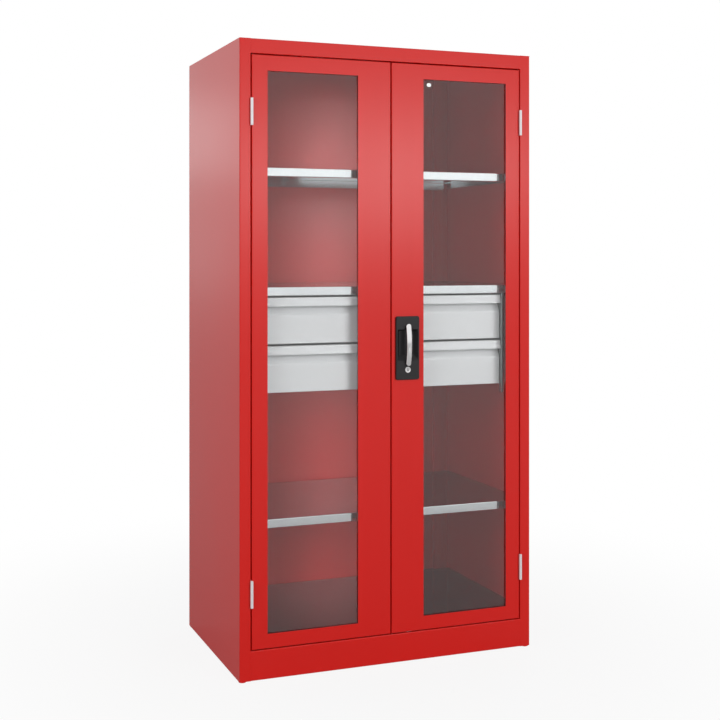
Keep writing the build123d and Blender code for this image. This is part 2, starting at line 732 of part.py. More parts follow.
# Doors: a folded pan with a lip round its back and a window opening
for hand, side in sides.items():
    with BuildPart() as door_panel:
        with BuildSketch(Plane.XZ.offset(-front)):
            with Locations((side * door_centre, door_middle)):
                Rectangle(door_width, door_height)
        extrude(amount=-door_depth)
        fillet(door_panel.faces().sort_by(Axis.Y)[0].edges(), radius=door_edge_radius)
        offset(amount=-door_sheet, openings=door_panel.faces().sort_by(Axis.Y)[-1])
        with BuildSketch(Plane.XZ.offset(-(front + door_depth))):
            with Locations((side * door_centre, door_middle)):
                Rectangle(door_width, door_height)
                Rectangle(door_width - 2 * door_lip, door_height - 2 * door_lip, mode=Mode.SUBTRACT)
        extrude(amount=door_sheet)
        with BuildSketch(Plane.XZ.offset(-front)):
            with Locations((side * window_centre, window_middle)):
                Rectangle(window_width, window_height)
            if hand == "right":
                with Locations((handle_x, body_middle)):
                    RectangleRounded(
                        body_width + 2 * dish_fit, body_height + 2 * dish_fit, body_corner + dish_fit
                    )
                with Locations((handle_x, spindle_height)):
                    Circle(spindle_radius + dish_fit)
                with Locations((handle_x, cylinder_height)):
                    Circle(cylinder_radius + dish_fit)
                with Locations(*[(handle_x, level) for level in screw_levels]):
                    Circle(dish_screw_radius + fixing_clearance)
        extrude(amount=-door_sheet, mode=Mode.SUBTRACT)
        if hand == "right":
            with BuildSketch(Plane.XY.offset(door_top)):
                with Locations((handle_x - rod_offset, rod_middle)):
                    Rectangle(rod_width + 2 * rod_play, rod_thickness + 2 * rod_play)
            extrude(amount=-door_sheet, mode=Mode.SUBTRACT)
            with BuildSketch(Plane.XY.offset(door_bottom)):
                with Locations((handle_x + rod_offset, rod_middle)):
                    Rectangle(rod_width + 2 * rod_play, rod_thickness + 2 * rod_play)
            extrude(amount=door_sheet, mode=Mode.SUBTRACT)
    door_panel.part.label = f"{hand}_door_panel"
    export_step(door_panel.part, f"parts/{hand}_door_panel.step")

    with BuildPart() as window_gasket:
        with BuildSketch(Plane.XZ.offset(-skin_back)):
            with Locations((side * window_centre, window_middle)):
                Rectangle(window_width + 2 * gasket_width, window_height + 2 * gasket_width)
                Rectangle(window_width, window_height, mode=Mode.SUBTRACT)
        extrude(amount=-gasket_depth)
    window_gasket.part.label = f"{hand}_window_gasket"
    export_step(window_gasket.part, f"parts/{hand}_window_gasket.step")

    with BuildPart() as window_pane:
        with BuildSketch(Plane.XZ.offset(-pane_front)):
            with Locations((side * window_centre, window_middle)):
                Rectangle(window_width + 2 * pane_lap, window_height + 2 * pane_lap)
        extrude(amount=-pane_sheet)
    window_pane.part.label = f"{hand}_window_pane"
    export_step(window_pane.part, f"parts/{hand}_window_pane.step")

    # The retainer holds the pane on the gasket, on studs welded to the back of the skin
    fixing_span_x = window_width + 2 * fixing_offset
    fixing_span_z = (window_height - 2 * fixing_end_inset) / (fixing_rows - 1)
    fixing_end_span = window_height + 2 * fixing_offset
    with BuildPart() as window_retainer:
        with BuildSketch(Plane.XZ.offset(-pane_back)):
            with Locations((side * window_centre, window_middle)):
                Rectangle(window_width + 2 * retainer_width, window_height + 2 * retainer_width)
                Rectangle(
                    window_width + 2 * retainer_reveal,
                    window_height + 2 * retainer_reveal,
                    mode=Mode.SUBTRACT,
                )
                with GridLocations(fixing_span_x, fixing_span_z, 2, fixing_rows):
                    Circle(fixing_radius + fixing_clearance, mode=Mode.SUBTRACT)
                with GridLocations(0, fixing_end_span, 1, 2):
                    Circle(fixing_radius + fixing_clearance, mode=Mode.SUBTRACT)
        extrude(amount=-retainer_sheet)
        with BuildSketch(Plane.XZ.offset(-skin_back)):
            with Locations((side * window_centre, window_middle)):
                Rectangle(window_width + 2 * retainer_width, window_height + 2 * retainer_width)
                Rectangle(
                    window_width + 2 * (retainer_width - retainer_sheet),
                    window_height + 2 * (retainer_width - retainer_sheet),
                    mode=Mode.SUBTRACT,
                )
        extrude(amount=-(pane_back - skin_back))
    window_retainer.part.label = f"{hand}_window_retainer"
    export_step(window_retainer.part, f"parts/{hand}_window_retainer.step")

    retainer_back = pane_back + retainer_sheet
    with BuildPart() as window_fixings:
        with BuildSketch(Plane.XZ.offset(-skin_back)):
            with Locations((side * window_centre, window_middle)):
                with GridLocations(fixing_span_x, fixing_span_z, 2, fixing_rows):
                    Circle(fixing_radius)
                with GridLocations(0, fixing_end_span, 1, 2):
                    Circle(fixing_radius)
        extrude(amount=-(retainer_back - skin_back))
        with BuildSketch(Plane.XZ.offset(-retainer_back)):
            with Locations((side * window_centre, window_middle)):
                with GridLocations(fixing_span_x, fixing_span_z, 2, fixing_rows):
                    RegularPolygon(fixing_nut_radius, 6)
                with GridLocations(0, fixing_end_span, 1, 2):
                    RegularPolygon(fixing_nut_radius, 6)
        extrude(amount=-fixing_nut)
    window_fixings.part.label = f"{hand}_window_fixings"
    export_step(window_fixings.part, f"parts/{hand}_window_fixings.step")

# Upright channel that stiffens the meeting stile of the left door
stiffener_centre = (door_inner + door_lip + window_centre - window_width / 2 - retainer_width) / 2
stiffener_line = (
    (-stiffener_centre - stiffener_width / 2, skin_back),
    (-stiffener_centre - stiffener_width / 2, skin_back + stiffener_depth),
    (-stiffener_centre + stiffener_width / 2, skin_back + stiffener_depth),
    (-stiffener_centre + stiffener_width / 2, skin_back),
)
with BuildPart() as left_door_stiffener:
    with BuildSketch(Plane.XY.offset(door_bottom + stiffener_inset)):
        add(folded_section(stiffener_line, door_sheet, door_sheet + inner_bend, Side.RIGHT))
    extrude(amount=door_height - 2 * stiffener_inset)
left_door_stiffener.part.label = "left_door_stiffener"
export_step(left_door_stiffener.part, "parts/left_door_stiffener.step")

# Handle dish: a moulded plate with a hand well that passes through the door skin
with BuildPart() as handle_dish:
    with BuildSketch(Plane.XZ.offset(-front)):
        with Locations((handle_x, dish_middle)):
            RectangleRounded(dish_width, dish_height, dish_corner)
    extrude(amount=dish_proud)
    fillet(handle_dish.faces().sort_by(Axis.Y)[0].edges(), radius=dish_edge)
    with BuildSketch(Plane.XZ.offset(-front)):
        with Locations((handle_x, body_middle)):
            RectangleRounded(body_width, body_height, body_corner)
    extrude(amount=-(well_depth + well_wall))
    with BuildSketch(Plane.XZ.offset(-dish_face)):
        with Locations((handle_x, well_middle)):
            RectangleRounded(well_width, well_height, well_corner)
    with BuildSketch(Plane.XZ.offset(-(front + well_depth))):
        with Locations((handle_x, well_floor_middle)):
            RectangleRounded(well_floor_width, well_floor_height, well_corner)
    loft(mode=Mode.SUBTRACT)
    with BuildSketch(Plane.XZ.offset(-dish_face)):
        with Locations((handle_x, spindle_height)):
            Circle(spindle_radius + bore_play)
        with Locations((handle_x, cylinder_height)):
            Circle(cylinder_radius + bore_play)
    extrude(amount=-dish_proud, mode=Mode.SUBTRACT)
    with BuildSketch(Plane.XZ.offset(-front)):
        with Locations(*[(handle_x, level) for level in screw_levels]):
            Circle(dish_screw_radius)
    extrude(amount=dish_proud - well_wall, mode=Mode.SUBTRACT)
handle_dish.part.label = "handle_dish"
export_step(handle_dish.part, "parts/handle_dish.step")

with BuildPart() as dish_screws:
    with BuildSketch(Plane.XZ.offset(-skin_back)):
        with Locations(*[(handle_x, level) for level in screw_levels]):
            Circle(dish_screw_head)
    extrude(amount=-dish_screw_head_height)
    with BuildSketch(Plane.XZ.offset(-skin_back)):
        with Locations(*[(handle_x, level) for level in screw_levels]):
            Circle(dish_screw_radius)
    extrude(amount=door_sheet + dish_proud - well_wall)
dish_screws.part.label = "dish_screws"
export_step(dish_screws.part, "parts/dish_screws.step")

# Lever: a bow whose upper end turns on the spindle
bow_top = spindle_height + bow_width / 2
bow_bottom = spindle_height - bow_drop
bow_length = bow_top - bow_bottom
bow_middle = (bow_top + bow_bottom) / 2
bow_back = dish_face - bow_gap
bow_axis = bow_back - bow_thickness / 2
with BuildPart() as lever_bow:
    with BuildLine(Plane.YZ.offset(handle_x)) as bow_line:
        ThreePointArc((bow_axis, bow_bottom), (bow_axis - bow_rise, bow_middle), (bow_axis, bow_top))
    with BuildSketch(Plane(bow_line.line @ 0, x_dir=(1, 0, 0), z_dir=bow_line.line % 0)):
        Ellipse(bow_width / 2, bow_thickness / 2)
    sweep()
    with BuildSketch(Plane.XZ.offset(-(bow_back + bow_thickness))):
        with Locations((handle_x, bow_middle)):
            SlotOverall(bow_length, bow_width, rotation=90)
    extrude(amount=bow_rise + 3 * bow_thickness, mode=Mode.INTERSECT)
    with BuildSketch(Plane.XZ.offset(-bow_back)):
        with Locations((handle_x, spindle_height)):
            Circle(boss_radius)
    extrude(amount=boss_height)
lever_bow.part.label = "lever_bow"
export_step(lever_bow.part, "parts/lever_bow.step")

case_back = front + case_depth + case_sheet
with BuildPart() as lever_spindle:
    with BuildSketch(Plane.XZ.offset(-bow_back)):
        with Locations((handle_x, spindle_height)):
            Circle(spindle_radius)
    extrude(amount=-(cam_front - bow_back))
    with BuildSketch(Plane.XZ.offset(-cam_front)):
        with Locations((handle_x, spindle_height)):
            Circle(spindle_tail_radius)
    extrude(amount=-(case_back - cam_front))
lever_spindle.part.label = "lever_spindle"
export_step(lever_spindle.part, "parts/lever_spindle.step")

# Cam on the spindle: its two pins draw the rods together as the lever turns
cam_offset = cam_throw / 2**0.5
with BuildPart() as lever_cam:
    with BuildSketch(Plane.XZ.offset(-cam_front)):
        with Locations((handle_x, spindle_height)):
            SlotCenterToCenter(2 * cam_throw, cam_width, rotation=135)
            Circle(spindle_tail_radius + bore_play, mode=Mode.SUBTRACT)
    extrude(amount=-cam_sheet)
    with BuildSketch(Plane.XZ.offset(-(cam_front + cam_sheet))):
        with Locations(
            (handle_x - cam_offset, spindle_height + cam_offset),
            (handle_x + cam_offset, spindle_height - cam_offset),
        ):
            Circle(cam_pin_radius)
    extrude(amount=-(rod_thickness + 2 * rod_play))
lever_cam.part.label = "lever_cam"
export_step(lever_cam.part, "parts/lever_cam.step")

# Lock rods: flat bars with a fork round the cam's pin, ending at the door's top and bottom
fork_height = 2 * (cam_pin_radius + fork_play)
fork_depth = rod_width - fork_web
rods = {
    "upper": (-1, spindle_height + cam_offset, door_top),
    "lower": (1, spindle_height - cam_offset, door_bottom),
}
for name, (hand, pin_level, tip) in rods.items():
    reach = 1 if tip > pin_level else -1
    root = pin_level - reach * (fork_height / 2 + fork_wall)
    with BuildPart() as lock_rod:
        with BuildSketch(Plane.XZ.offset(-rod_front)):
            with Locations((handle_x + hand * rod_offset, (root + tip) / 2)):
                Rectangle(rod_width, abs(tip - root))
            with Locations((handle_x + hand * (rod_offset - fork_web / 2), pin_level)):
                Rectangle(fork_depth, fork_height, mode=Mode.SUBTRACT)
        extrude(amount=-rod_thickness)
    lock_rod.part.label = f"{name}_lock_rod"
    export_step(lock_rod.part, f"parts/{name}_lock_rod.step")

# Moulded guides that hold the rods to the back of the skin, from the door's ends to the lock
guide_runs = (
    (-1, door_top - guide_end_inset, spindle_height + guide_spindle_gap),
    (1, door_bottom + guide_end_inset, cylinder_height - guide_cylinder_gap),
)
with BuildPart() as rod_guides:
    for hand, end, stop in guide_runs:
        for index in range(guide_count):
            level = end + (stop - end) * index / (guide_count - 1)
            with BuildSketch(Plane.XY.offset(level - guide_height / 2)):
                with Locations((handle_x + hand * rod_offset, (skin_back + front + guide_back) / 2)):
                    Rectangle(guide_width, guide_back - door_sheet)
                with Locations((handle_x + hand * rod_offset, rod_middle)):
                    Rectangle(rod_width + 2 * rod_play, rod_thickness + 2 * rod_play, mode=Mode.SUBTRACT)
            extrude(amount=guide_height)
rod_guides.part.label = "rod_guides"
export_step(rod_guides.part, "parts/rod_guides.step")

# Lock case: a cover over the cam that also holds the spindle's tail
case_line = (
    (handle_x - case_width / 2, skin_back),
    (handle_x - case_width / 2, case_back),
    (handle_x + case_width / 2, case_back),
    (handle_x + case_width / 2, skin_back),
)
with BuildPart() as lock_case:
    with BuildSketch(Plane.XY.offset(spindle_height - case_height / 2)):
        add(folded_section(case_line, case_sheet, case_sheet + inner_bend, Side.RIGHT))
    extrude(amount=case_height)
    with BuildSketch(Plane.XZ.offset(-case_back)):
        with Locations((handle_x, spindle_height)):
            Circle(spindle_tail_radius + bore_play)
    extrude(amount=case_sheet, mode=Mode.SUBTRACT)
lock_case.part.label = "lock_case"
export_step(lock_case.part, "parts/lock_case.step")

# Lock cylinder in the dish, its plug with the key slot, and the tongue on the plug
cylinder_back = dish_face + cylinder_length
with BuildPart() as lock_cylinder:
    with BuildSketch(Plane.XZ.offset(-dish_face)):
        with Locations((handle_x, cylinder_height)):
            Circle(cylinder_radius)
            Circle(plug_radius + plug_running, mode=Mode.SUBTRACT)
    extrude(amount=-cylinder_length)
lock_cylinder.part.label = "lock_cylinder"
export_step(lock_cylinder.part, "parts/lock_cylinder.step")

with BuildPart() as lock_plug:
    with BuildSketch(Plane.XZ.offset(-dish_face)):
        with Locations((handle_x, cylinder_height)):
            Circle(plug_radius)
    extrude(amount=-cylinder_length)
    with BuildSketch(Plane.XZ.offset(-dish_face)):
        with Locations((handle_x, cylinder_height)):
            Rectangle(key_slot_width, key_slot_length)
    extrude(amount=-key_slot_depth, mode=Mode.SUBTRACT)
lock_plug.part.label = "lock_plug"
export_step(lock_plug.part, "parts/lock_plug.step")

with BuildPart() as lock_tongue:
    with BuildSketch(Plane.XZ.offset(-cylinder_back)):
        with Locations((handle_x, cylinder_height + (tongue_length - tongue_width) / 2)):
            SlotOverall(tongue_length, tongue_width, rotation=90)
    extrude(amount=-tongue_sheet)
lock_tongue.part.label = "lock_tongue"
export_step(lock_tongue.part, "parts/lock_tongue.step")
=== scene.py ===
"""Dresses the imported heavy-duty cabinet with its finishes and small hardware, on a plain stage."""

import math

import bmesh
import bpy
from bpy.props import FloatProperty, FloatVectorProperty, IntProperty, PointerProperty
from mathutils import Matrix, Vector


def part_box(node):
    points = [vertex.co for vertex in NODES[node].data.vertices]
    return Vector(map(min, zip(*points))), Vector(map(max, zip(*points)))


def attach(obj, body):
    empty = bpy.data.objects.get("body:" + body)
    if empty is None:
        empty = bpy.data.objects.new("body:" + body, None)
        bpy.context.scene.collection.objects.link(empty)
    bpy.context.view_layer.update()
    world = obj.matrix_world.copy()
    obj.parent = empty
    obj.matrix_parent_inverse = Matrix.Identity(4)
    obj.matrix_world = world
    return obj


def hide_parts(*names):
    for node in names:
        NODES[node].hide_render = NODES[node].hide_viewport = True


bl_info = {
    "name": "Heavy-duty cabinet dressing",
    "version": (1, 0, 0),
    "blender": (4, 5, 0),
    "location": "View3D > Sidebar > Cabinet",
    "description": "Gives the packed cabinet its finishes and small hardware, and sets its stage",
    "category": "Object",
}

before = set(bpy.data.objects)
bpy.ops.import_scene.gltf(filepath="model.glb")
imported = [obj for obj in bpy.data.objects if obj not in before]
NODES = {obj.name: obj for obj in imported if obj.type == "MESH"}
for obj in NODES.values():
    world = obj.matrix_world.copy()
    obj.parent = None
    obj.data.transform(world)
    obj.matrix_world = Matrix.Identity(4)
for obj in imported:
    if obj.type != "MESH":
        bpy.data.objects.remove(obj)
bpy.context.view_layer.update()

RED_NODES = (
    "left_side_panel",
    "right_side_panel",
    "back_panel",
    "top_panel",
    "plinth_panel",
    "corner_gussets",
    "feet",
    "front_shelf_strips",
    "rear_uprights",
    "left_door_panel",
    "right_door_panel",
    "left_door_stiffener",
)
GALVANISED_NODES = (
    "upper_shelf",
    "middle_shelf",
    "lower_shelf",
    "shelf_rails",
    "carrier_brackets",
    "left_window_retainer",
    "right_window_retainer",
)
CARRIER_NODES = ("left_drawer_carrier", "right_drawer_carrier")
GREY_NODES = (
    "upper_drawer_front",
    "lower_drawer_front",
    "upper_drawer_tray",
    "lower_drawer_tray",
)
RUNNER_NODES = (
    "runner_cabinet_members",
    "upper_runner_middle_members",
    "lower_runner_middle_members",
    "upper_runner_drawer_members",
    "lower_runner_drawer_members",
)
HINGE_NODES = (
    "hinge_pins",
    "left_hinge_frame_knuckles",
    "right_hinge_frame_knuckles",
    "left_hinge_door_knuckles",
    "right_hinge_door_knuckles",
)
LOCK_STEEL_NODES = (
    "lock_case",
    "upper_lock_rod",
    "lower_lock_rod",
    "lever_cam",
    "lever_spindle",
    "lock_tongue",
)
FRONT_NODES = (*RED_NODES, "handle_dish")
SIDE_NODES = ("left_side_panel",)

# Edges of the small hardware that turn by more than this stay sharp
SHARP = math.radians(35)

# Facets round each turned form and round the floor
WASHER_SIDES = 20
NUT_SIDES = 6
STUD_SIDES = 14
CAP_SIDES = 28
LOCK_SIDES = 64
FLOOR_SIDES = 96

# Chamfers, as shares of the washer's thickness, the nut's corner and the lock flange's rise
WASHER_CHAMFER = 0.15
NUT_CHAMFER = 0.12
FLANGE_CHAMFER = 0.3

# Section of a hinge's domed end, in shares of its radius and its rise
DOME = ((0, 0), (1, 0), (1, 0.3), (0.95, 0.62), (0.84, 0.84), (0.62, 0.97), (0, 1))

# Brushed lines per metre along X, Y and Z: the low number is the way that the lines run
LINES_ALONG_RUNNER = (2500.0, 40.0, 2500.0)
LINES_UP_STEEL = (2500.0, 2500.0, 60.0)
LINES_UP_LEVER = (1500.0, 1500.0, 60.0)
LINES_INTO_LOCK = (1500.0, 60.0, 1500.0)
LINES_ALL_WAYS = (900.0, 900.0, 900.0)

# First input, second input and output of a Mix node, whose sockets share their names
MIX_SLOTS = {"FLOAT": (2, 3, 0), "RGBA": (6, 7, 2)}
WHITE = (1, 1, 1, 1)

# Floor distances: where its white starts to grow, its edge, and where panes mirror pure white
FLOOR_NEAR = 0.3
FLOOR_RADIUS = 40.0
GLAZED_FAR = 13.0

# Faces that a ray crosses on its way in through a pane
PANE_FACES = 2

SENSOR_WIDTH = 36.0

# Softboxes that light all there is: name, power's property, place, aim and size
SOFTBOXES = (
    ("key_softbox", "key_power", (3.0, -6.9, 2.45), (0.0, 0.0, 1.2), (3.6, 3.6)),
    ("fill_softbox", "fill_power", (-3.8, -1.9, 1.5), (-0.3, 0.0, 0.9), (2.4, 2.4)),
    ("back_softbox", "back_power", (3.4, 4.2, 2.4), (0.2, 0.2, 1.0), (2.4, 2.4)),
)

# Softboxes that show only as a sheen, with the solids that they reach
SHEENS = (
    ("front_sheen", "sheen_power", (1.35, -3.8, 1.8), (0.0, -0.3, 1.55), (2.1, 0.4), FRONT_NODES),
    ("side_sheen", "side_sheen_power", (-1.6, 3.8, 2.06), (-0.5, 0.0, 1.7), (0.5, 0.5), SIDE_NODES),
)

COLOUR = {"subtype": "COLOR", "size": 3, "min": 0, "max": 1}
SHARE = {"subtype": "FACTOR", "min": 0, "max": 1}


class CabinetFinishes(bpy.types.PropertyGroup):
    """Colours and surface sizes of the cabinet's finishes"""

    red: FloatVectorProperty(
        name="Red paint",
        description="Colour of the carcass and the doors",
        default=(0.66, 0.005, 0.0015),
        **COLOUR,
    )
    grey: FloatVectorProperty(
        name="Grey paint",
        description="Colour of the drawers",
        default=(0.665, 0.68, 0.69),
        **COLOUR,
    )
    steel: FloatVectorProperty(
        name="Galvanised steel",
        description="Colour of the shelves, the cabinet's floor and the drawer carriers",
        default=(0.82, 0.85, 0.865),
        **COLOUR,
    )
    zinc: FloatVectorProperty(
        name="Zinc plating",
        description="Colour of the hinges, runners, fixings and lock steel",
        default=(0.78, 0.78, 0.80),
        **COLOUR,
    )
    chrome: FloatVectorProperty(
        name="Satin chrome",
        description="Colour of the lever and the lock's face",
        default=(0.80, 0.80, 0.80),
        **COLOUR,
    )
    plastic: FloatVectorProperty(
        name="Black plastic",
        description="Colour of the handle dish and the rod guides",
        default=(0.006, 0.006, 0.0066),
        **COLOUR,
    )
    rubber: FloatVectorProperty(
        name="Gasket rubber",
        description="Colour of the window gaskets",
        default=(0.042, 0.039, 0.039),
        **COLOUR,
    )
    pane: FloatVectorProperty(
        name="Clear pane",
        description="Tint of the acrylic panes",
        default=(0.97, 0.975, 0.975),
        **COLOUR,
    )
    paint_grain: FloatProperty(
        name="Paint grain",
        description="Width of the powder coat's orange peel",
        unit="LENGTH",
        min=0.0005,
        default=0.0025,
    )
    plastic_grain: FloatProperty(
        name="Plastic grain",
        description="Width of the moulded grain of the dish",
        unit="LENGTH",
        min=0.0002,
        default=0.0011,
    )
    spangle: FloatProperty(
        name="Spangle",
        description="Width of the zinc crystals on the shelves",
        unit="LENGTH",
        min=0.001,
        default=0.011,
    )
    # Painted shade: the top faces of galvanised parts take a darker tone that stands for the shade
    # on them
    shelf_top_shade: FloatProperty(
        name="Shelf top tone",
        description="Brightness of the shelves' top faces as a share of clean zinc",
        default=0.46,
        **SHARE,
    )
    # Painted shade: the cabinet floor's top face is darkened the same way, even more
    floor_top_shade: FloatProperty(
        name="Floor top tone",
        description="Brightness of the cabinet floor's top face as a share of clean zinc",
        default=0.25,
        **SHARE,
    )
    # Painted shade: the drawer carriers are darkened to stand for the shade they stand in beside the
    # drawers
    carrier_shade: FloatProperty(
        name="Drawer carrier tone",
        description="Brightness of the drawer carriers as a share of clean zinc",
        default=0.40,
        **SHARE,
    )
    hinge_tone: FloatProperty(
        name="Hinge tone",
        description="Brightness of the hinges' pale bloom as a share of clean zinc",
        min=0,
        default=1.12,
    )
    hinge_metal: FloatProperty(
        name="Hinge metal",
        description="Share of bare metal in the hinges' pale bloom",
        default=0.35,
        **SHARE,
    )


class CabinetHardware(bpy.types.PropertyGroup):
    """Sizes of the small hardware that the solids leave plain"""

    nut_width: FloatProperty(
        name="Nut width",
        description="Across the flats of the pane retainer's nuts",
        unit="LENGTH",
        default=0.0068,
    )
    nut_height: FloatProperty(
        name="Nut height",
        description="Height of a nut over its washer",
        unit="LENGTH",
        default=0.0022,
    )
    washer_width: FloatProperty(
        name="Washer width",
        description="Diameter of the washer under a nut",
        unit="LENGTH",
        default=0.0085,
    )
    washer_height: FloatProperty(
        name="Washer height",
        description="Thickness of the washer under a nut",
        unit="LENGTH",
        default=0.0006,
    )
    stud_width: FloatProperty(
        name="Stud width",
        description="Diameter of the stud that a nut runs on",
        unit="LENGTH",
        default=0.0038,
    )
    stud_end: FloatProperty(
        name="Stud end",
        description="Length of stud that shows past its nut",
        unit="LENGTH",
        default=0.0004,
    )
    fixing_rows: IntProperty(
        name="Fixing rows",
        description="Nuts up each side of a window",
        min=2,
        default=5,
    )
    fixing_end: FloatProperty(
        name="Fixing end",
        description="From a window's corner to the side's last nut",
        unit="LENGTH",
        default=0.090,
    )
    fixing_inset: FloatProperty(
        name="Fixing inset",
        description="From a window's edge to the line of nuts",
        unit="LENGTH",
        default=0.0105,
    )
    pane_lap: FloatProperty(
        name="Pane lap",
        description="Width of pane behind the window's edge",
        unit="LENGTH",
        default=0.006,
    )
    hinge_length: FloatProperty(
        name="Hinge length",
        description="Length of both knuckles of a hinge",
        unit="LENGTH",
        default=0.081,
    )
    cap_width: FloatProperty(
        name="Cap width",
        description="Diameter of a hinge's domed end",
        unit="LENGTH",
        default=0.0091,
    )
    cap_height: FloatProperty(
        name="Cap height",
        description="Rise of a hinge's domed end",
        unit="LENGTH",
        default=0.0012,
    )
    lock_play: FloatProperty(
        name="Lock play",
        description="Clearance round the lock's turned parts",
        unit="LENGTH",
        default=0.00005,
    )
    lock_flange_width: FloatProperty(
        name="Lock flange width",
        description="Diameter of the lock's turned flange",
        unit="LENGTH",
        default=0.0190,
    )
    lock_flange_height: FloatProperty(
        name="Lock flange height",
        description="Rise of the lock's flange off the dish",
        unit="LENGTH",
        default=0.0013,
    )
    # Painted shade: the size of the near-black patch that stands for the shade inside the plug's
    # keyway
    keyway_shade_width: FloatProperty(
        name="Keyway width",
        description="Width of the dark slot in the lock's plug",
        unit="LENGTH",
        default=0.0026,
    )
    keyway_shade_height: FloatProperty(
        name="Keyway height",
        description="Height of the dark slot in the lock's plug",
        unit="LENGTH",
        default=0.0092,
    )


class CabinetStage(bpy.types.PropertyGroup):
    """Camera, floor and lights"""

    camera_place: FloatVectorProperty(
        name="Camera place",
        description="Where the camera stands",
        subtype="TRANSLATION",
        size=3,
        default=(-1.55684, -3.76166, 1.29943),
    )
    camera_yaw: FloatProperty(
        name="Camera yaw",
        description="Turn of the level camera from straight ahead to the right",
        subtype="ANGLE",
        default=math.radians(20.42),
    )
    lens: FloatProperty(
        name="Lens",
        description="Focal length in millimetres",
        unit="CAMERA",
        default=60.081,
    )
    shift_x: FloatProperty(
        name="Shift across",
        description="Sideways shift of the frame",
        default=0.0653,
    )
    shift_y: FloatProperty(
        name="Shift up",
        description="Upward shift of the frame",
        default=-0.14871,
    )
    floor_colour: FloatVectorProperty(
        name="Floor colour",
        description="Colour of the pale floor",
        default=(0.50, 0.50, 0.50),
        **COLOUR,
    )
    floor_white: FloatProperty(
        name="Floor white",
        description="Share of background white in the floor beside the cabinet",
        default=0.90,
        **SHARE,
    )
    floor_reach: FloatProperty(
        name="Floor reach",
        description="Distance at which the floor has faded to white",
        unit="LENGTH",
        default=2.2,
    )
    mirror_near: FloatProperty(
        name="Mirrored white near by",
        description="Share of white in the floor a metre away, as satin surfaces mirror it",
        default=0.15,
        **SHARE,
    )
    mirror_far: FloatProperty(
        name="Mirrored white far off",
        description="Share of white in the floor's far edge, as satin surfaces mirror it",
        default=0.55,
        **SHARE,
    )
    glazed_near: FloatProperty(
        name="Glazed white near by",
        description="Brightness of the floor a metre away, as the panes mirror it",
        default=0.72,
        **SHARE,
    )
    world_light: FloatProperty(
        name="World light",
        description="Strength of the even light from all sides",
        min=0,
        default=0.34,
    )
    key_power: FloatProperty(
        name="Key power",
        description="Power of the key softbox, in watts",
        unit="POWER",
        min=0,
        default=272.0,
    )
    fill_power: FloatProperty(
        name="Fill power",
        description="Power of the fill softbox, in watts",
        unit="POWER",
        min=0,
        default=54.0,
    )
    back_power: FloatProperty(
        name="Back power",
        description="Power of the softbox behind, in watts",
        unit="POWER",
        min=0,
        default=62.0,
    )
    sheen_power: FloatProperty(
        name="Front sheen power",
        description="Power of the softbox that shows only as a sheen on the front, in watts",
        unit="POWER",
        min=0,
        default=22.0,
    )
    side_sheen_power: FloatProperty(
        name="Side sheen power",
        description="Power of the softbox that shows only as a sheen on the left side, in watts",
        unit="POWER",
        min=0,
        default=1.0,
    )


def put(tree, value, slot):
    """Links another node's output to a slot, or sets the slot to a plain value."""
    if isinstance(value, bpy.types.NodeSocket):
        tree.links.new(value, slot)
    else:
        slot.default_value = value


def node(tree, kind, place, **values):
    """A node at a place in the editor, with the named inputs or settings that are given."""
    made = tree.nodes.new(kind)
    made.location = place
    for name, value in values.items():
        label = name.replace("_", " ").title()
        if label in made.inputs:
            put(tree, value, made.inputs[label])
        else:
            setattr(made, name, value)
    return made


def maths(tree, operation, place, *values, clamp=False):
    """The result of a sum on numbers and other nodes' outputs."""
    made = node(tree, "ShaderNodeMath", place, operation=operation, use_clamp=clamp)
    for value, slot in zip(values, made.inputs):
        put(tree, value, slot)
    return made.outputs[0]


def vectors(tree, operation, place, *values):
    """The results of a sum on vectors, given plainly or as other nodes' outputs."""
    made = node(tree, "ShaderNodeVectorMath", place, operation=operation)
    for value, slot in zip(values, made.inputs):
        put(tree, value, slot)
    return made.outputs


def ramp(tree, value, place, **ends):
    """Where a value stands between two ends."""
    made = node(tree, "ShaderNodeMapRange", place, clamp=True, value=value, **ends)
    return made.outputs["Result"]


def mix(tree, kind, place, share, low, high):
    """A number or colour between two others, each given plainly or as another node's output."""
    made = node(tree, "ShaderNodeMix", place, data_type=kind)
    first, second, result = MIX_SLOTS[kind]
    put(tree, share, made.inputs[0])
    put(tree, low, made.inputs[first])
    put(tree, high, made.inputs[second])
    return made.outputs[result]


def mix_shaders(tree, place, share, low, high):
    """A shader between two others."""
    made = node(tree, "ShaderNodeMixShader", place)
    for value, slot in zip((share, low.outputs[0], high.outputs[0]), made.inputs):
        put(tree, value, slot)
    return made


def new_group(name, inputs, outputs):
    """An empty shader node group, with the sockets that it is given and those that it fills."""
    tree = bpy.data.node_groups.new(name, "ShaderNodeTree")
    for label, kind, default in inputs:
        socket = tree.interface.new_socket(label, in_out="INPUT", socket_type=kind)
        socket.default_value = default
    for label in outputs:
        tree.interface.new_socket(label, in_out="OUTPUT", socket_type="NodeSocketFloat")
    given = node(tree, "NodeGroupInput", (-900, 0)).outputs
    result = node(tree, "NodeGroupOutput", (600, 0)).inputs
    return tree, given, result


def shared(name, build):
    """A node group that is built once and used again."""
    return bpy.data.node_groups.get(name) or build()


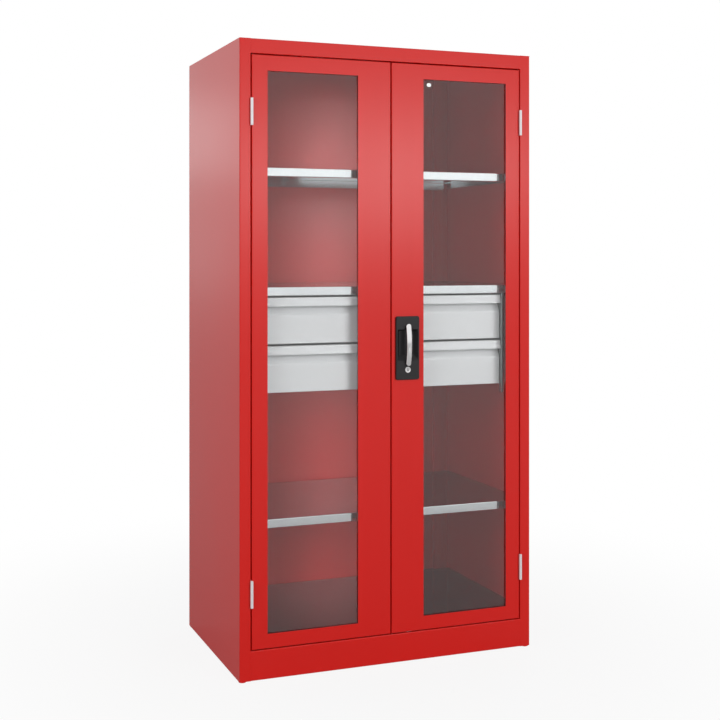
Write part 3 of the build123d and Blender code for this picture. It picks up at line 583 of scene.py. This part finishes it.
def grain_group():
    """Fine surface grain: a height for bump, and a roughness that drifts from place to place."""
    tree, given, result = new_group(
        "surface_grain",
        (
            ("Vector", "NodeSocketVector", (0, 0, 0)),
            ("Grain per metre", "NodeSocketFloat", 400.0),
            ("Roughness", "NodeSocketFloat", 0.4),
            ("Spread", "NodeSocketFloat", 0.04),
        ),
        ("Height", "Roughness", "Drift"),
    )
    fine = node(
        tree,
        "ShaderNodeTexNoise",
        (-600, 200),
        vector=given["Vector"],
        scale=given["Grain per metre"],
        detail=3.0,
        roughness=0.55,
    )
    broad = node(
        tree,
        "ShaderNodeTexNoise",
        (-600, -150),
        vector=given["Vector"],
        scale=2.3,
        detail=3.0,
        roughness=0.5,
    )
    centred = maths(tree, "SUBTRACT", (-450, -250), broad.outputs["Fac"], 0.5)
    spread = maths(
        tree, "MULTIPLY_ADD", (-300, -250), centred, given["Spread"], given["Roughness"]
    )
    put(tree, fine.outputs["Fac"], result["Height"])
    put(tree, spread, result["Roughness"])
    put(tree, broad.outputs["Fac"], result["Drift"])
    return tree


def edge_group():
    """A mask in patches along sharp folds, where paint thins and a highlight is painted."""
    tree, given, result = new_group(
        "edge_mask",
        (("Radius", "NodeSocketFloat", 0.0015), ("Vector", "NodeSocketVector", (0, 0, 0))),
        ("Mask",),
    )
    rounded = node(tree, "ShaderNodeBevel", (-600, 100), samples=4, radius=given["Radius"])
    flat = node(tree, "ShaderNodeNewGeometry", (-600, -150))
    turn = vectors(
        tree, "DOT_PRODUCT", (-350, 0), rounded.outputs["Normal"], flat.outputs["Normal"]
    )
    fold = ramp(tree, turn["Value"], (-150, 0), from_min=1.0, from_max=0.8)
    breaks = node(
        tree, "ShaderNodeTexNoise", (-350, -250), vector=given["Vector"], scale=55.0, detail=3.0
    )
    patches = ramp(tree, breaks.outputs["Fac"], (-150, -250), from_min=0.4, from_max=0.65)
    put(tree, maths(tree, "MULTIPLY", (150, 0), fold, patches), result["Mask"])
    return tree


def brushed_group():
    """Fine parallel scratches along one axis, as on rolled or brushed metal."""
    tree, given, result = new_group(
        "brushed_lines",
        (
            ("Vector", "NodeSocketVector", (0, 0, 0)),
            ("Lines per metre", "NodeSocketVector", (40.0, 2500.0, 2500.0)),
        ),
        ("Height",),
    )
    stretched = vectors(
        tree, "MULTIPLY", (-600, 0), given["Vector"], given["Lines per metre"]
    )
    lines = node(
        tree,
        "ShaderNodeTexNoise",
        (-350, 0),
        vector=stretched["Vector"],
        scale=1.0,
        detail=2.0,
        roughness=0.6,
    )
    put(tree, lines.outputs["Fac"], result["Height"])
    return tree


def tone(colour, factor):
    """A colour made darker or lighter."""
    return tuple(min(1.0, channel * factor) for channel in colour)


def opaque(colour):
    """A colour as a node's socket takes it."""
    return (*colour, 1)


class Finish:
    """A new material with its Principled shader, and helpers that wire its nodes."""

    def __init__(self, name, **sockets):
        self.material = bpy.data.materials.new(name)
        self.material.use_nodes = True
        self.tree = self.material.node_tree
        self.tree.nodes.clear()
        self.out = node(self.tree, "ShaderNodeOutputMaterial", (700, 0))
        self.shader = node(self.tree, "ShaderNodeBsdfPrincipled", (350, 0))
        place = node(self.tree, "ShaderNodeTexCoord", (-1100, 0))
        self.coords, self.normals = place.outputs["Object"], place.outputs["Normal"]
        self.show(self.shader)
        self.feed(**sockets)

    def show(self, shader):
        """Makes a shader the material's surface."""
        put(self.tree, shader.outputs[0], self.out.inputs["Surface"])

    def feed(self, **sockets):
        """Sets the Principled shader's sockets, or links other nodes' outputs to them."""
        for label, value in sockets.items():
            put(self.tree, value, self.shader.inputs[label.replace("_", " ")])

    def group(self, name, build, place, **values):
        """The outputs of a shared node group, with this material's own values."""
        made = node(self.tree, "ShaderNodeGroup", place)
        made.node_tree = shared(name, build)
        put(self.tree, self.coords, made.inputs["Vector"])
        for label, value in values.items():
            made.inputs[label.replace("_", " ")].default_value = value
        return made.outputs

    def grain(self, place, per_metre, roughness, spread):
        """The surface's fine grain, its roughness and its drift."""
        return self.group(
            "surface_grain",
            grain_group,
            place,
            Grain_per_metre=per_metre,
            Roughness=roughness,
            Spread=spread,
        )

    def tones(self, mask, colour, dark, light, place=(-200, 200)):
        """A colour between two of its own tones, as a mask says."""
        low, high = opaque(tone(colour, dark)), opaque(tone(colour, light))
        return mix(self.tree, "RGBA", place, mask, low, high)

    def bump(self, height, strength, depth):
        """Raises the surface by a height that runs from 0 to 1."""
        made = node(
            self.tree,
            "ShaderNodeBump",
            (100, -350),
            height=height,
            strength=strength,
            distance=depth,
        )
        self.feed(Normal=made.outputs["Normal"])


def painted(name, colour, grain, roughness):
    """Powder coat: a faint orange peel, a drifting gloss, and folds made lighter by thinner paint
    and a painted highlight.
    """
    finish = Finish(name)
    surface = finish.grain((-700, 0), per_metre=1 / grain, roughness=roughness, spread=0.06)
    base = finish.tones(surface["Drift"], colour, dark=0.98, light=1.02, place=(-350, 200))
    edges = finish.group("edge_mask", edge_group, (-700, -350), Radius=0.0012)
    # Folds are lighter both where paint thins and as a painted highlight on their rounding
    thin_paint_and_highlight_share = 0.35
    thin_paint_and_highlight = maths(finish.tree, "MULTIPLY", (-350, -300), edges["Mask"], thin_paint_and_highlight_share)
    thin_paint_and_highlight_colour = opaque(tone(colour, 1.25))
    finish.feed(
        Base_Color=mix(finish.tree, "RGBA", (0, 200), thin_paint_and_highlight, base, thin_paint_and_highlight_colour),
        Roughness=surface["Roughness"],
    )
    finish.bump(surface["Height"], strength=0.025, depth=0.0003)
    return finish.material


def galvanised(name, colour, spangle, top_shade):
    """Hot-dip zinc: flat crystals of slightly different tone and gloss, with painted shade darkening
    the faces that look up.
    """
    finish = Finish(name, Metallic=1.0)
    tree = finish.tree
    crystals = node(
        tree, "ShaderNodeTexVoronoi", (-700, 200), vector=finish.coords, scale=1 / spangle
    )
    split = node(tree, "ShaderNodeSeparateColor", (-500, 200), color=crystals.outputs["Color"])
    shade, shine = split.outputs["Red"], split.outputs["Green"]
    unshaded = finish.tones(shade, colour, dark=0.985, light=1.01, place=(-300, 300))
    # Painted shade: faces that look up take this darker tone
    shaded_top = finish.tones(
        shade, colour, dark=0.95 * top_shade, light=1.02 * top_shade, place=(-300, 50)
    )
    facing = node(tree, "ShaderNodeSeparateXYZ", (-700, 450), vector=finish.normals)
    up = ramp(tree, facing.outputs["Z"], (-500, 450), from_min=0.7, from_max=0.95)
    surface = finish.grain((-700, -200), per_metre=900.0, roughness=0.11, spread=0.05)
    shine_share = 0.01
    gloss = maths(
        tree, "MULTIPLY_ADD", (-200, -100), shine, shine_share, surface["Roughness"]
    )
    finish.feed(Base_Color=mix(tree, "RGBA", (0, 200), up, unshaded, shaded_top), Roughness=gloss)
    finish.bump(surface["Height"], strength=0.025, depth=0.0002)
    return finish.material


def keyway_shade_mask(finish, middle, half):
    """1 inside an upright slot of the lock's face, given by its middle and its half size, where
    shade is painted.
    """
    tree = finish.tree
    off = vectors(tree, "SUBTRACT", (-900, 500), finish.coords, middle)
    off = vectors(tree, "ABSOLUTE", (-720, 500), off["Vector"])
    split = node(tree, "ShaderNodeSeparateXYZ", (-540, 500), vector=off["Vector"])
    across, up = half
    within_sides = maths(tree, "LESS_THAN", (-360, 500), split.outputs["X"], across)
    within_ends = maths(tree, "LESS_THAN", (-360, 340), split.outputs["Z"], up)
    return maths(tree, "MULTIPLY", (-180, 500), within_sides, within_ends)


def brushed_metal(name, colour, roughness, lines, strength=0.08, metallic=1.0, keyway_shade=None):
    """Plated or brushed metal with fine lines along one axis, and painted shade in its keyway, if
    any.
    """
    finish = Finish(name, Metallic=metallic)
    scratches = finish.group("brushed_lines", brushed_group, (-700, 200), Lines_per_metre=lines)
    surface = finish.grain((-700, -200), per_metre=300.0, roughness=roughness, spread=0.10)
    plated = finish.tones(scratches["Height"], colour, dark=0.93, light=1.05)
    # Painted shade: the keyway is near black, standing for the shade inside the slot
    if keyway_shade:
        inside = keyway_shade_mask(finish, *keyway_shade)
        keyway_shade_colour = opaque(tone(colour, 0.02))
        plated = mix(finish.tree, "RGBA", (50, 300), inside, plated, keyway_shade_colour)
    finish.feed(Base_Color=plated, Roughness=surface["Roughness"])
    finish.bump(scratches["Height"], strength, depth=0.00015)
    return finish.material


def moulded_plastic(name, colour, grain):
    """Spark-eroded grain of a moulded part, with pits and a drifting gloss."""
    finish = Finish(name, Specular_IOR_Level=0.4)
    tree = finish.tree
    surface = finish.grain((-700, 0), per_metre=1 / grain, roughness=0.46, spread=0.14)
    pits = node(
        tree, "ShaderNodeTexVoronoi", (-700, -300), vector=finish.coords, scale=0.6 / grain
    )
    pit_share = 0.5
    height = maths(
        tree, "MULTIPLY_ADD", (-300, -300), pits.outputs["Distance"], pit_share, surface["Height"]
    )
    finish.feed(
        Base_Color=finish.tones(surface["Height"], colour, dark=0.7, light=1.5),
        Roughness=surface["Roughness"],
    )
    finish.bump(height, strength=0.35, depth=0.0005)
    return finish.material


def gasket_rubber(name, colour):
    """Matt extruded rubber with a dusty bloom."""
    finish = Finish(name, Specular_IOR_Level=0.35)
    surface = finish.grain((-700, 0), per_metre=1200.0, roughness=0.72, spread=0.15)
    finish.feed(
        Base_Color=finish.tones(surface["Drift"], colour, dark=0.8, light=1.5),
        Roughness=surface["Roughness"],
    )
    finish.bump(surface["Height"], strength=0.15, depth=0.0002)
    return finish.material


def clear_pane(name, colour):
    """Acrylic sheet: clear to the camera, and open to lamps and to light from the inside."""
    finish = Finish(
        name, Transmission_Weight=1.0, IOR=1.49, Roughness=0.0, Specular_IOR_Level=0.31
    )
    tree = finish.tree
    surface = finish.grain((-700, 0), per_metre=6.0, roughness=0.0, spread=0.0)
    finish.feed(Base_Color=finish.tones(surface["Drift"], colour, dark=0.985, light=1.0))
    rays = node(tree, "ShaderNodeLightPath", (350, 500)).outputs
    opening = node(tree, "ShaderNodeBsdfTransparent", (350, 150), color=WHITE)
    to_inside = mix_shaders(tree, (550, 200), rays["Is Diffuse Ray"], finish.shader, opening)
    to_lamps = mix_shaders(tree, (750, 200), rays["Is Shadow Ray"], to_inside, opening)
    finish.out.location = (1000, 200)
    finish.show(to_lamps)
    return finish.material


def dress(names, material):
    """Gives solids a finish."""
    for name in names:
        NODES[name].data.materials.clear()
        NODES[name].data.materials.append(material)


def add_object(name, data):
    """A new object in the scene."""
    made = bpy.data.objects.new(name, data)
    bpy.context.scene.collection.objects.link(made)
    return made


def turned(shape, profile, sides, place, axis, ring=False):
    """Adds a form turned from (radius, height) points to a working mesh, as a solid or a ring."""
    along = Vector(axis)
    across = along.orthogonal().normalized()
    other = along.cross(across)
    rings = []
    for radius, height in profile:
        centre = Vector(place) + along * height
        turns = [math.tau * step / sides for step in range(sides if radius else 1)]
        rings.append(
            [
                shape.verts.new(centre + radius * (math.cos(t) * across + math.sin(t) * other))
                for t in turns
            ]
        )
    for low, high in zip(rings, rings[1:] + rings[:1] if ring else rings[1:]):
        for step in range(sides):
            after = step + 1
            corners = (
                low[step % len(low)],
                low[after % len(low)],
                high[after % len(high)],
                high[step % len(high)],
            )
            corners = dict.fromkeys(corners)
            if len(corners) > 2:
                shape.faces.new(corners)
    bmesh.ops.recalc_face_normals(shape, faces=shape.faces[:])


def finished_mesh(name, shape):
    """Turns a working mesh into a plain one that is smooth between its sharp edges."""
    mesh = bpy.data.meshes.new(name)
    shape.to_mesh(mesh)
    shape.free()
    mesh.shade_smooth()
    mesh.set_sharp_from_angle(angle=SHARP)
    return mesh


def grid_tree():
    """Copies of a small form on an upright grid, with a second, middle column at its ends."""
    tree = bpy.data.node_groups.new("copies_on_grid", "GeometryNodeTree")
    tree.interface.new_socket("Geometry", in_out="OUTPUT", socket_type="NodeSocketGeometry")
    for label, kind in (
        ("Form", "NodeSocketObject"),
        ("Centre", "NodeSocketVector"),
        ("Across", "NodeSocketFloat"),
        ("Columns", "NodeSocketInt"),
        ("Rise", "NodeSocketFloat"),
        ("Rows", "NodeSocketInt"),
        ("End Rise", "NodeSocketFloat"),
        ("End Rows", "NodeSocketInt"),
        ("Material", "NodeSocketMaterial"),
    ):
        tree.interface.new_socket(label, in_out="INPUT", socket_type=kind)
    given = node(tree, "NodeGroupInput", (-900, 0)).outputs
    sides = node(
        tree,
        "GeometryNodeMeshGrid",
        (-650, 200),
        size_x=given["Across"],
        size_y=given["Rise"],
        vertices_x=given["Columns"],
        vertices_y=given["Rows"],
    )
    ends = node(
        tree,
        "GeometryNodeMeshGrid",
        (-650, -50),
        size_x=0.0,
        size_y=given["End Rise"],
        vertices_x=1,
        vertices_y=given["End Rows"],
    )
    points = node(tree, "GeometryNodeJoinGeometry", (-400, 100))
    for grid in (sides, ends):
        put(tree, grid.outputs["Mesh"], points.inputs["Geometry"])
    upright = node(
        tree,
        "GeometryNodeTransform",
        (-200, 100),
        geometry=points.outputs["Geometry"],
        translation=given["Centre"],
        rotation=(math.pi / 2, 0, 0),
    )
    form = node(tree, "GeometryNodeObjectInfo", (-200, -200), object=given["Form"])
    copies = node(
        tree,
        "GeometryNodeInstanceOnPoints",
        (100, 100),
        points=upright.outputs["Geometry"],
        instance=form.outputs["Geometry"],
    )
    real = node(
        tree, "GeometryNodeRealizeInstances", (350, 100), geometry=copies.outputs["Instances"]
    )
    finish = node(
        tree,
        "GeometryNodeSetMaterial",
        (600, 100),
        geometry=real.outputs["Geometry"],
        material=given["Material"],
    )
    node(tree, "NodeGroupOutput", (900, 0), geometry=finish.outputs["Geometry"])
    return tree


def grown(name, tree, values):
    """The result of a geometry node tree with the named values, as a plain mesh object."""
    carrier = add_object(name + "_carrier", bpy.data.meshes.new(name + "_seed"))
    modifier = carrier.modifiers.new("grow", "NODES")
    modifier.node_group = tree
    for item in tree.interface.items_tree:
        if item.in_out == "INPUT" and item.name in values:
            modifier[item.identifier] = values[item.name]
    bpy.context.view_layer.update()
    graph = bpy.context.evaluated_depsgraph_get()
    mesh = bpy.data.meshes.new_from_object(carrier.evaluated_get(graph), depsgraph=graph)
    mesh.name = name
    carrier.modifiers.remove(modifier)
    bpy.data.objects.remove(carrier)
    return add_object(name, mesh)


def repeated(name, shape, material, **values):
    """Repeats a working mesh on the grid that the values give, as one plain mesh object."""
    form = add_object(name + "_form", finished_mesh(name + "_form", shape))
    named = {label.replace("_", " "): value for label, value in values.items()}
    named.update({"Form": form, "Material": material})
    made = grown(name, shared("copies_on_grid", grid_tree), named)
    bpy.data.objects.remove(form)
    return made


def fit(piece, body, slot, *replaced):
    """Makes a finished piece move with a body and hides the solids that it stands for; the slot is
    not used.
    """
    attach(piece, body)
    if replaced:
        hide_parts(*replaced)


class CABINET_OT_paintwork(bpy.types.Operator):
    """Paints the carcass and the doors red"""

    bl_idname = "cabinet.paintwork"
    bl_label = "Paintwork"

    def execute(self, context):
        finishes = context.scene.cabinet_finishes
        red = painted("red_powder_coat", finishes.red, finishes.paint_grain, roughness=0.29)
        dress(RED_NODES, red)
        return {"FINISHED"}


class CABINET_OT_shelves(bpy.types.Operator):
    """Galvanises the shelves, rails, brackets, pane retainers and the cabinet's floor, with painted
    shade on their top faces
    """

    bl_idname = "cabinet.shelves"
    bl_label = "Shelves"

    def execute(self, context):
        finishes = context.scene.cabinet_finishes
        for names, material, top_shade in (
            (GALVANISED_NODES, "galvanised_sheet", finishes.shelf_top_shade),
            (("floor_panel",), "galvanised_floor", finishes.floor_top_shade),
        ):
            dress(names, galvanised(material, finishes.steel, finishes.spangle, top_shade))
        return {"FINISHED"}


class CABINET_OT_drawers(bpy.types.Operator):
    """Paints the drawers grey, galvanises their carriers in a darker tone of painted shade and
    plates their runners
    """

    bl_idname = "cabinet.drawers"
    bl_label = "Drawers"

    def execute(self, context):
        finishes = context.scene.cabinet_finishes
        grey = painted("grey_powder_coat", finishes.grey, finishes.paint_grain, roughness=0.40)
        dress(GREY_NODES, grey)
        # Painted shade: the carriers take a darker zinc that stands for their shade
        dark = tone(finishes.steel, finishes.carrier_shade)
        carrier = galvanised("galvanised_carrier", dark, finishes.spangle, finishes.shelf_top_shade)
        dress(CARRIER_NODES, carrier)
        zinc = brushed_metal(
            "runner_zinc", finishes.zinc, roughness=0.30, lines=LINES_ALONG_RUNNER
        )
        dress(RUNNER_NODES, zinc)
        return {"FINISHED"}


class CABINET_OT_glazing(bpy.types.Operator):
    """Gives the windows their panes and gaskets"""

    bl_idname = "cabinet.glazing"
    bl_label = "Glazing"

    def execute(self, context):
        finishes = context.scene.cabinet_finishes
        acrylic = clear_pane("clear_acrylic", finishes.pane)
        dress(("left_window_pane", "right_window_pane"), acrylic)
        rubber = gasket_rubber("gasket_rubber", finishes.rubber)
        dress(("left_window_gasket", "right_window_gasket"), rubber)
        return {"FINISHED"}


class CABINET_OT_window_nuts(bpy.types.Operator):
    """Puts studs, washers and nuts round each pane's retainer, and plates the dish's screws"""

    bl_idname = "cabinet.window_nuts"
    bl_label = "Window nuts"

    def execute(self, context):
        finishes, hardware = context.scene.cabinet_finishes, context.scene.cabinet_hardware
        zinc = brushed_metal("fixing_zinc", finishes.zinc, roughness=0.32, lines=LINES_ALL_WAYS)
        dress(("dish_screws",), zinc)
        for hand in ("left", "right"):
            low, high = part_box(f"{hand}_window_pane")
            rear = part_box(f"{hand}_window_retainer")[1].y
            sides = high.z - low.z - 2 * (hardware.pane_lap + hardware.fixing_end)
            reach = 2 * (hardware.fixing_inset - hardware.pane_lap)
            nuts = repeated(
                f"{hand}_window_nuts",
                self.fixing(hardware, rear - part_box(f"{hand}_window_fixings")[0].y),
                zinc,
                Centre=((low.x + high.x) / 2, rear, (low.z + high.z) / 2),
                Across=high.x - low.x + reach,
                Columns=2,
                Rise=sides,
                Rows=hardware.fixing_rows,
                End_Rise=high.z - low.z + reach,
                End_Rows=2,
            )
            fit(nuts, f"{hand}_door", "zinc", f"{hand}_window_fixings")
        return {"FINISHED"}

    def fixing(self, hardware, shank):
        """A stud with its washer and nut, seated on the retainer's rear face at the origin."""
        washer, stud = hardware.washer_width / 2, hardware.stud_width / 2
        corner = hardware.nut_width / 2 / math.cos(math.pi / NUT_SIDES)
        seat = hardware.washer_height
        top = seat + hardware.nut_height
        tip = top + hardware.stud_end
        ease = WASHER_CHAMFER * seat
        chamfer = NUT_CHAMFER * corner
        shape = bmesh.new()
        for low, high, radius, inward, down, sides in (
            (0, seat, washer, ease, ease, WASHER_SIDES),
            (seat, top, corner, chamfer, chamfer / 2, NUT_SIDES),
            (-shank, tip, stud, ease, ease, STUD_SIDES),
        ):
            edge = ((radius, low), (radius, high - down), (radius - inward, high))
            turned(shape, ((0, low), *edge, (0, high)), sides, (0, 0, 0), (0, 1, 0))
        return shape


class CABINET_OT_hinges(bpy.types.Operator):
    """Plates the hinges and gives them their domed ends"""

    bl_idname = "cabinet.hinges"
    bl_label = "Hinges"

    def execute(self, context):
        finishes, hardware = context.scene.cabinet_finishes, context.scene.cabinet_hardware
        zinc = brushed_metal(
            "hinge_zinc",
            tone(finishes.zinc, finishes.hinge_tone),
            roughness=0.34,
            lines=LINES_UP_STEEL,
            metallic=finishes.hinge_metal,
        )
        dress(HINGE_NODES, zinc)
        low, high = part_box("hinge_pins")
        pin = (high.y - low.y) / 2
        half = hardware.hinge_length / 2
        values = {"Rise": high.z - low.z - 2 * half, "Rows": 2, "End_Rise": 0.0, "End_Rows": 0}
        middle = Vector((0, low.y + pin, (low.z + high.z) / 2))
        feet = repeated(
            "hinge_foot_caps",
            self.cap(hardware, -half, -1),
            zinc,
            Centre=middle,
            Across=high.x - low.x - 2 * pin,
            Columns=2,
            **values,
        )
        fit(feet, "carcass", "zinc")
        for hand, edge in (("left", low.x + pin), ("right", high.x - pin)):
            tops = repeated(
                f"{hand}_hinge_top_caps",
                self.cap(hardware, half, 1),
                zinc,
                Centre=middle + Vector((edge, 0, 0)),
                Across=0.0,
                Columns=1,
                **values,
            )
            fit(tops, f"{hand}_door", "zinc")
        return {"FINISHED"}

    def cap(self, hardware, level, way):
        """The domed end of a hinge, upwards or downwards from a level."""
        radius, rise = hardware.cap_width / 2, hardware.cap_height
        profile = [(radius * across, rise * up) for across, up in DOME]
        shape = bmesh.new()
        turned(shape, profile, CAP_SIDES, (0, 0, level), (0, 0, way))
        return shape


class CABINET_OT_handle(bpy.types.Operator):
    """Finishes the handle dish, the lever, the lock's steel and its plug, with painted shade in the
    plug's keyway
    """

    bl_idname = "cabinet.handle"
    bl_label = "Handle and lock"

    def execute(self, context):
        finishes, hardware = context.scene.cabinet_finishes, context.scene.cabinet_hardware
        plastic = moulded_plastic("black_plastic", finishes.plastic, finishes.plastic_grain)
        dress(("handle_dish", "rod_guides"), plastic)
        steel = brushed_metal("lock_steel", finishes.zinc, roughness=0.36, lines=LINES_UP_STEEL)
        dress(LOCK_STEEL_NODES, steel)
        chrome = brushed_metal(
            "satin_chrome", finishes.chrome, roughness=0.15, lines=LINES_UP_LEVER, strength=0.04
        )
        dress(("lever_bow",), chrome)
        low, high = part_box("lock_plug")
        # Painted shade in the plug's keyway
        keyed = brushed_metal(
            "keyed_chrome",
            finishes.chrome,
            roughness=0.18,
            lines=LINES_INTO_LOCK,
            strength=0.04,
            keyway_shade=((low + high) / 2, (hardware.keyway_shade_width / 2, hardware.keyway_shade_height / 2)),
        )
        dress(("lock_plug",), keyed)
        return {"FINISHED"}


class CABINET_OT_lock_face(bpy.types.Operator):
    """Turns the lock's sleeve with a flange that sits on the dish"""

    bl_idname = "cabinet.lock_face"
    bl_label = "Lock face"

    def execute(self, context):
        hardware = context.scene.cabinet_hardware
        low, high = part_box("lock_cylinder")
        plug_low, plug_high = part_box("lock_plug")
        sleeve = (high.x - low.x) / 2 - hardware.lock_play
        bore = (plug_high.x - plug_low.x) / 2 + hardware.lock_play
        flange, rise = hardware.lock_flange_width / 2, hardware.lock_flange_height
        edge = FLANGE_CHAMFER * rise
        profile = (
            (bore, low.y - high.y),
            (sleeve, low.y - high.y),
            (sleeve, hardware.lock_play),
            (flange, hardware.lock_play),
            (flange, rise - edge),
            (flange - edge, rise),
            (flange - 3 * edge, rise),
            (bore + 2 * edge, rise - edge),
            (bore, rise - 2 * edge),
        )
        place = ((low.x + high.x) / 2, low.y, (low.z + high.z) / 2)
        shape = bmesh.new()
        turned(shape, profile, LOCK_SIDES, place, (0, -1, 0), ring=True)
        mesh = finished_mesh("lock_sleeve", shape)
        mesh.materials.append(bpy.data.materials["satin_chrome"])
        fit(add_object("lock_sleeve", mesh), "right_door", "satin_chrome", "lock_cylinder")
        return {"FINISHED"}


class CABINET_OT_stage(bpy.types.Operator):
    """Sets the pale floor, the white surround, the softboxes and the camera"""

    bl_idname = "cabinet.stage"
    bl_label = "Stage"

    def execute(self, context):
        scene = context.scene
        stage = scene.cabinet_stage
        scene.view_settings.view_transform = "Standard"
        self.surround(scene, stage)
        self.floor(stage)
        for name, power, place, aim, size in SOFTBOXES:
            lamp = self.softbox(name, getattr(stage, power), place, aim, size)
            lamp.visible_glossy = False
            lamp.data.cycles.use_multiple_importance_sampling = False
        for name, power, place, aim, size, lit in SHEENS:
            lamp = self.softbox(name, getattr(stage, power), place, aim, size)
            lamp.visible_diffuse = False
            self.light_only(lamp, lit)
        scene.camera = self.camera(stage)
        return {"FINISHED"}

    def camera(self, stage):
        """A level camera with its frame shifted, so that uprights stay parallel."""
        optics = bpy.data.cameras.new("photo_camera")
        optics.sensor_width = SENSOR_WIDTH
        optics.lens = stage.lens
        optics.shift_x, optics.shift_y = stage.shift_x, stage.shift_y
        made = add_object("photo_camera", optics)
        made.location = stage.camera_place
        made.rotation_euler = (math.pi / 2, 0, -stage.camera_yaw)
        return made

    def softbox(self, name, power, place, aim, size):
        """A soft lamp that the camera doesn't see."""
        lamp = bpy.data.lights.new(name, "AREA")
        lamp.shape = "RECTANGLE"
        lamp.size, lamp.size_y = size
        lamp.energy = power
        made = add_object(name, lamp)
        made.location = place
        made.rotation_euler = (Vector(aim) - Vector(place)).to_track_quat("-Z", "Y").to_euler()
        made.visible_camera = False
        return made

    def light_only(self, lamp, names):
        """Lets a lamp light only the named solids."""
        linked = bpy.data.collections.new(lamp.name + "_linked")
        for name in names:
            linked.objects.link(NODES[name])
        lamp.light_linking.receiver_collection = linked

    def surround(self, scene, stage):
        """White to the camera, in mirrors and through panes, and an even light for all else."""
        scene.world = bpy.data.worlds.new("white_surround")
        scene.world.use_nodes = True
        tree = scene.world.node_tree
        tree.nodes.clear()
        rays = node(tree, "ShaderNodeLightPath", (-700, 300)).outputs
        seen = maths(tree, "MAXIMUM", (-400, 300), rays["Is Camera Ray"], rays["Is Glossy Ray"])
        seen = maths(tree, "MAXIMUM", (-220, 300), seen, rays["Is Transmission Ray"])
        even = node(
            tree, "ShaderNodeBackground", (0, 100), color=WHITE, strength=stage.world_light
        )
        white = node(tree, "ShaderNodeBackground", (0, -100), color=WHITE, strength=1.0)
        mixed = mix_shaders(tree, (250, 0), seen, even, white)
        node(tree, "ShaderNodeOutputWorld", (450, 0), surface=mixed.outputs[0])

    def floor(self, stage):
        """A wide disc under the cabinet."""
        mesh = bpy.data.meshes.new("studio_floor")
        shape = bmesh.new()
        bmesh.ops.create_circle(shape, cap_ends=True, radius=FLOOR_RADIUS, segments=FLOOR_SIDES)
        shape.to_mesh(mesh)
        shape.free()
        mesh.materials.append(self.floor_finish(stage))
        floor = add_object("studio_floor", mesh)

    def floor_finish(self, stage):
        """Pale paint that takes shadows, with a share of pure white for each kind of ray."""
        finish = Finish(
            "pale_floor",
            Base_Color=opaque(stage.floor_colour),
            Roughness=0.9,
            Specular_IOR_Level=0.1,
        )
        tree = finish.tree
        rays = node(tree, "ShaderNodeLightPath", (-900, 700)).outputs
        reach = vectors(tree, "LENGTH", (-900, 300), finish.coords)["Value"]
        base = 10.0
        decades = maths(tree, "LOGARITHM", (-700, 0), reach, base)
        direct = ramp(
            tree,
            reach,
            (-500, 300),
            interpolation_type="SMOOTHSTEP",
            from_min=FLOOR_NEAR,
            from_max=stage.floor_reach,
            to_min=stage.floor_white,
        )
        mirrored = ramp(
            tree,
            decades,
            (-500, 0),
            from_max=math.log(FLOOR_RADIUS, base),
            to_min=stage.mirror_near,
            to_max=stage.mirror_far,
        )
        glazed = ramp(
            tree,
            decades,
            (-500, -300),
            from_max=math.log(GLAZED_FAR, base),
            to_min=stage.glazed_near,
        )
        plain = maths(tree, "MULTIPLY", (-300, 400), direct, rays["Is Camera Ray"])
        seen = maths(tree, "MAXIMUM", (-150, 300), plain, rays["Is Singular Ray"])
        share = mix(tree, "FLOAT", (50, 300), self.soft_mirror(tree, rays), seen, mirrored)
        strength = mix(tree, "FLOAT", (150, -350), rays["Is Singular Ray"], 1.0, glazed)
        white = node(tree, "ShaderNodeEmission", (350, -350), color=WHITE, strength=strength)
        finish.show(mix_shaders(tree, (550, -100), share, finish.shader, white))
        return finish.material

    def soft_mirror(self, tree, rays):
        """1 for a ray from a satin surface, straight or out again through a pane."""
        glossy, singular = rays["Is Glossy Ray"], rays["Is Singular Ray"]
        straight = maths(tree, "SUBTRACT", (-400, -600), glossy, singular, clamp=True)
        out_again = maths(
            tree, "GREATER_THAN", (-400, -800), rays["Transmission Depth"], PANE_FACES + 0.5
        )
        bounced = maths(
            tree, "MULTIPLY", (-200, -800), rays["Glossy Depth"], out_again, clamp=True
        )
        return maths(tree, "MAXIMUM", (0, -600), straight, bounced)


STEPS = (
    CABINET_OT_paintwork,
    CABINET_OT_shelves,
    CABINET_OT_drawers,
    CABINET_OT_glazing,
    CABINET_OT_window_nuts,
    CABINET_OT_hinges,
    CABINET_OT_handle,
    CABINET_OT_lock_face,
    CABINET_OT_stage,
)

GROUPS = {
    "cabinet_finishes": CabinetFinishes,
    "cabinet_hardware": CabinetHardware,
    "cabinet_stage": CabinetStage,
}


class CABINET_PT_dressing(bpy.types.Panel):
    """Lists the dressing's steps and sizes"""

    bl_label = "Cabinet dressing"
    bl_space_type = "VIEW_3D"
    bl_region_type = "UI"
    bl_category = "Cabinet"

    def draw(self, context):
        for step in STEPS:
            self.layout.operator(step.bl_idname)
        for name, group in GROUPS.items():
            column = self.layout.column(align=True)
            for label in group.__annotations__:
                column.prop(getattr(context.scene, name), label)


def register():
    for name, group in GROUPS.items():
        bpy.utils.register_class(group)
        setattr(bpy.types.Scene, name, PointerProperty(type=group))
    for step in STEPS:
        bpy.utils.register_class(step)
    bpy.utils.register_class(CABINET_PT_dressing)


def unregister():
    bpy.utils.unregister_class(CABINET_PT_dressing)
    for step in reversed(STEPS):
        bpy.utils.unregister_class(step)
    for name, group in reversed(GROUPS.items()):
        delattr(bpy.types.Scene, name)
        bpy.utils.unregister_class(group)


def main():
    register()
    bpy.ops.cabinet.paintwork()
    bpy.ops.cabinet.shelves()
    bpy.ops.cabinet.drawers()
    bpy.ops.cabinet.glazing()
    bpy.ops.cabinet.window_nuts()
    bpy.ops.cabinet.hinges()
    bpy.ops.cabinet.handle()
    bpy.ops.cabinet.lock_face()
    bpy.ops.cabinet.stage()


if __name__ == "__main__":
    main()
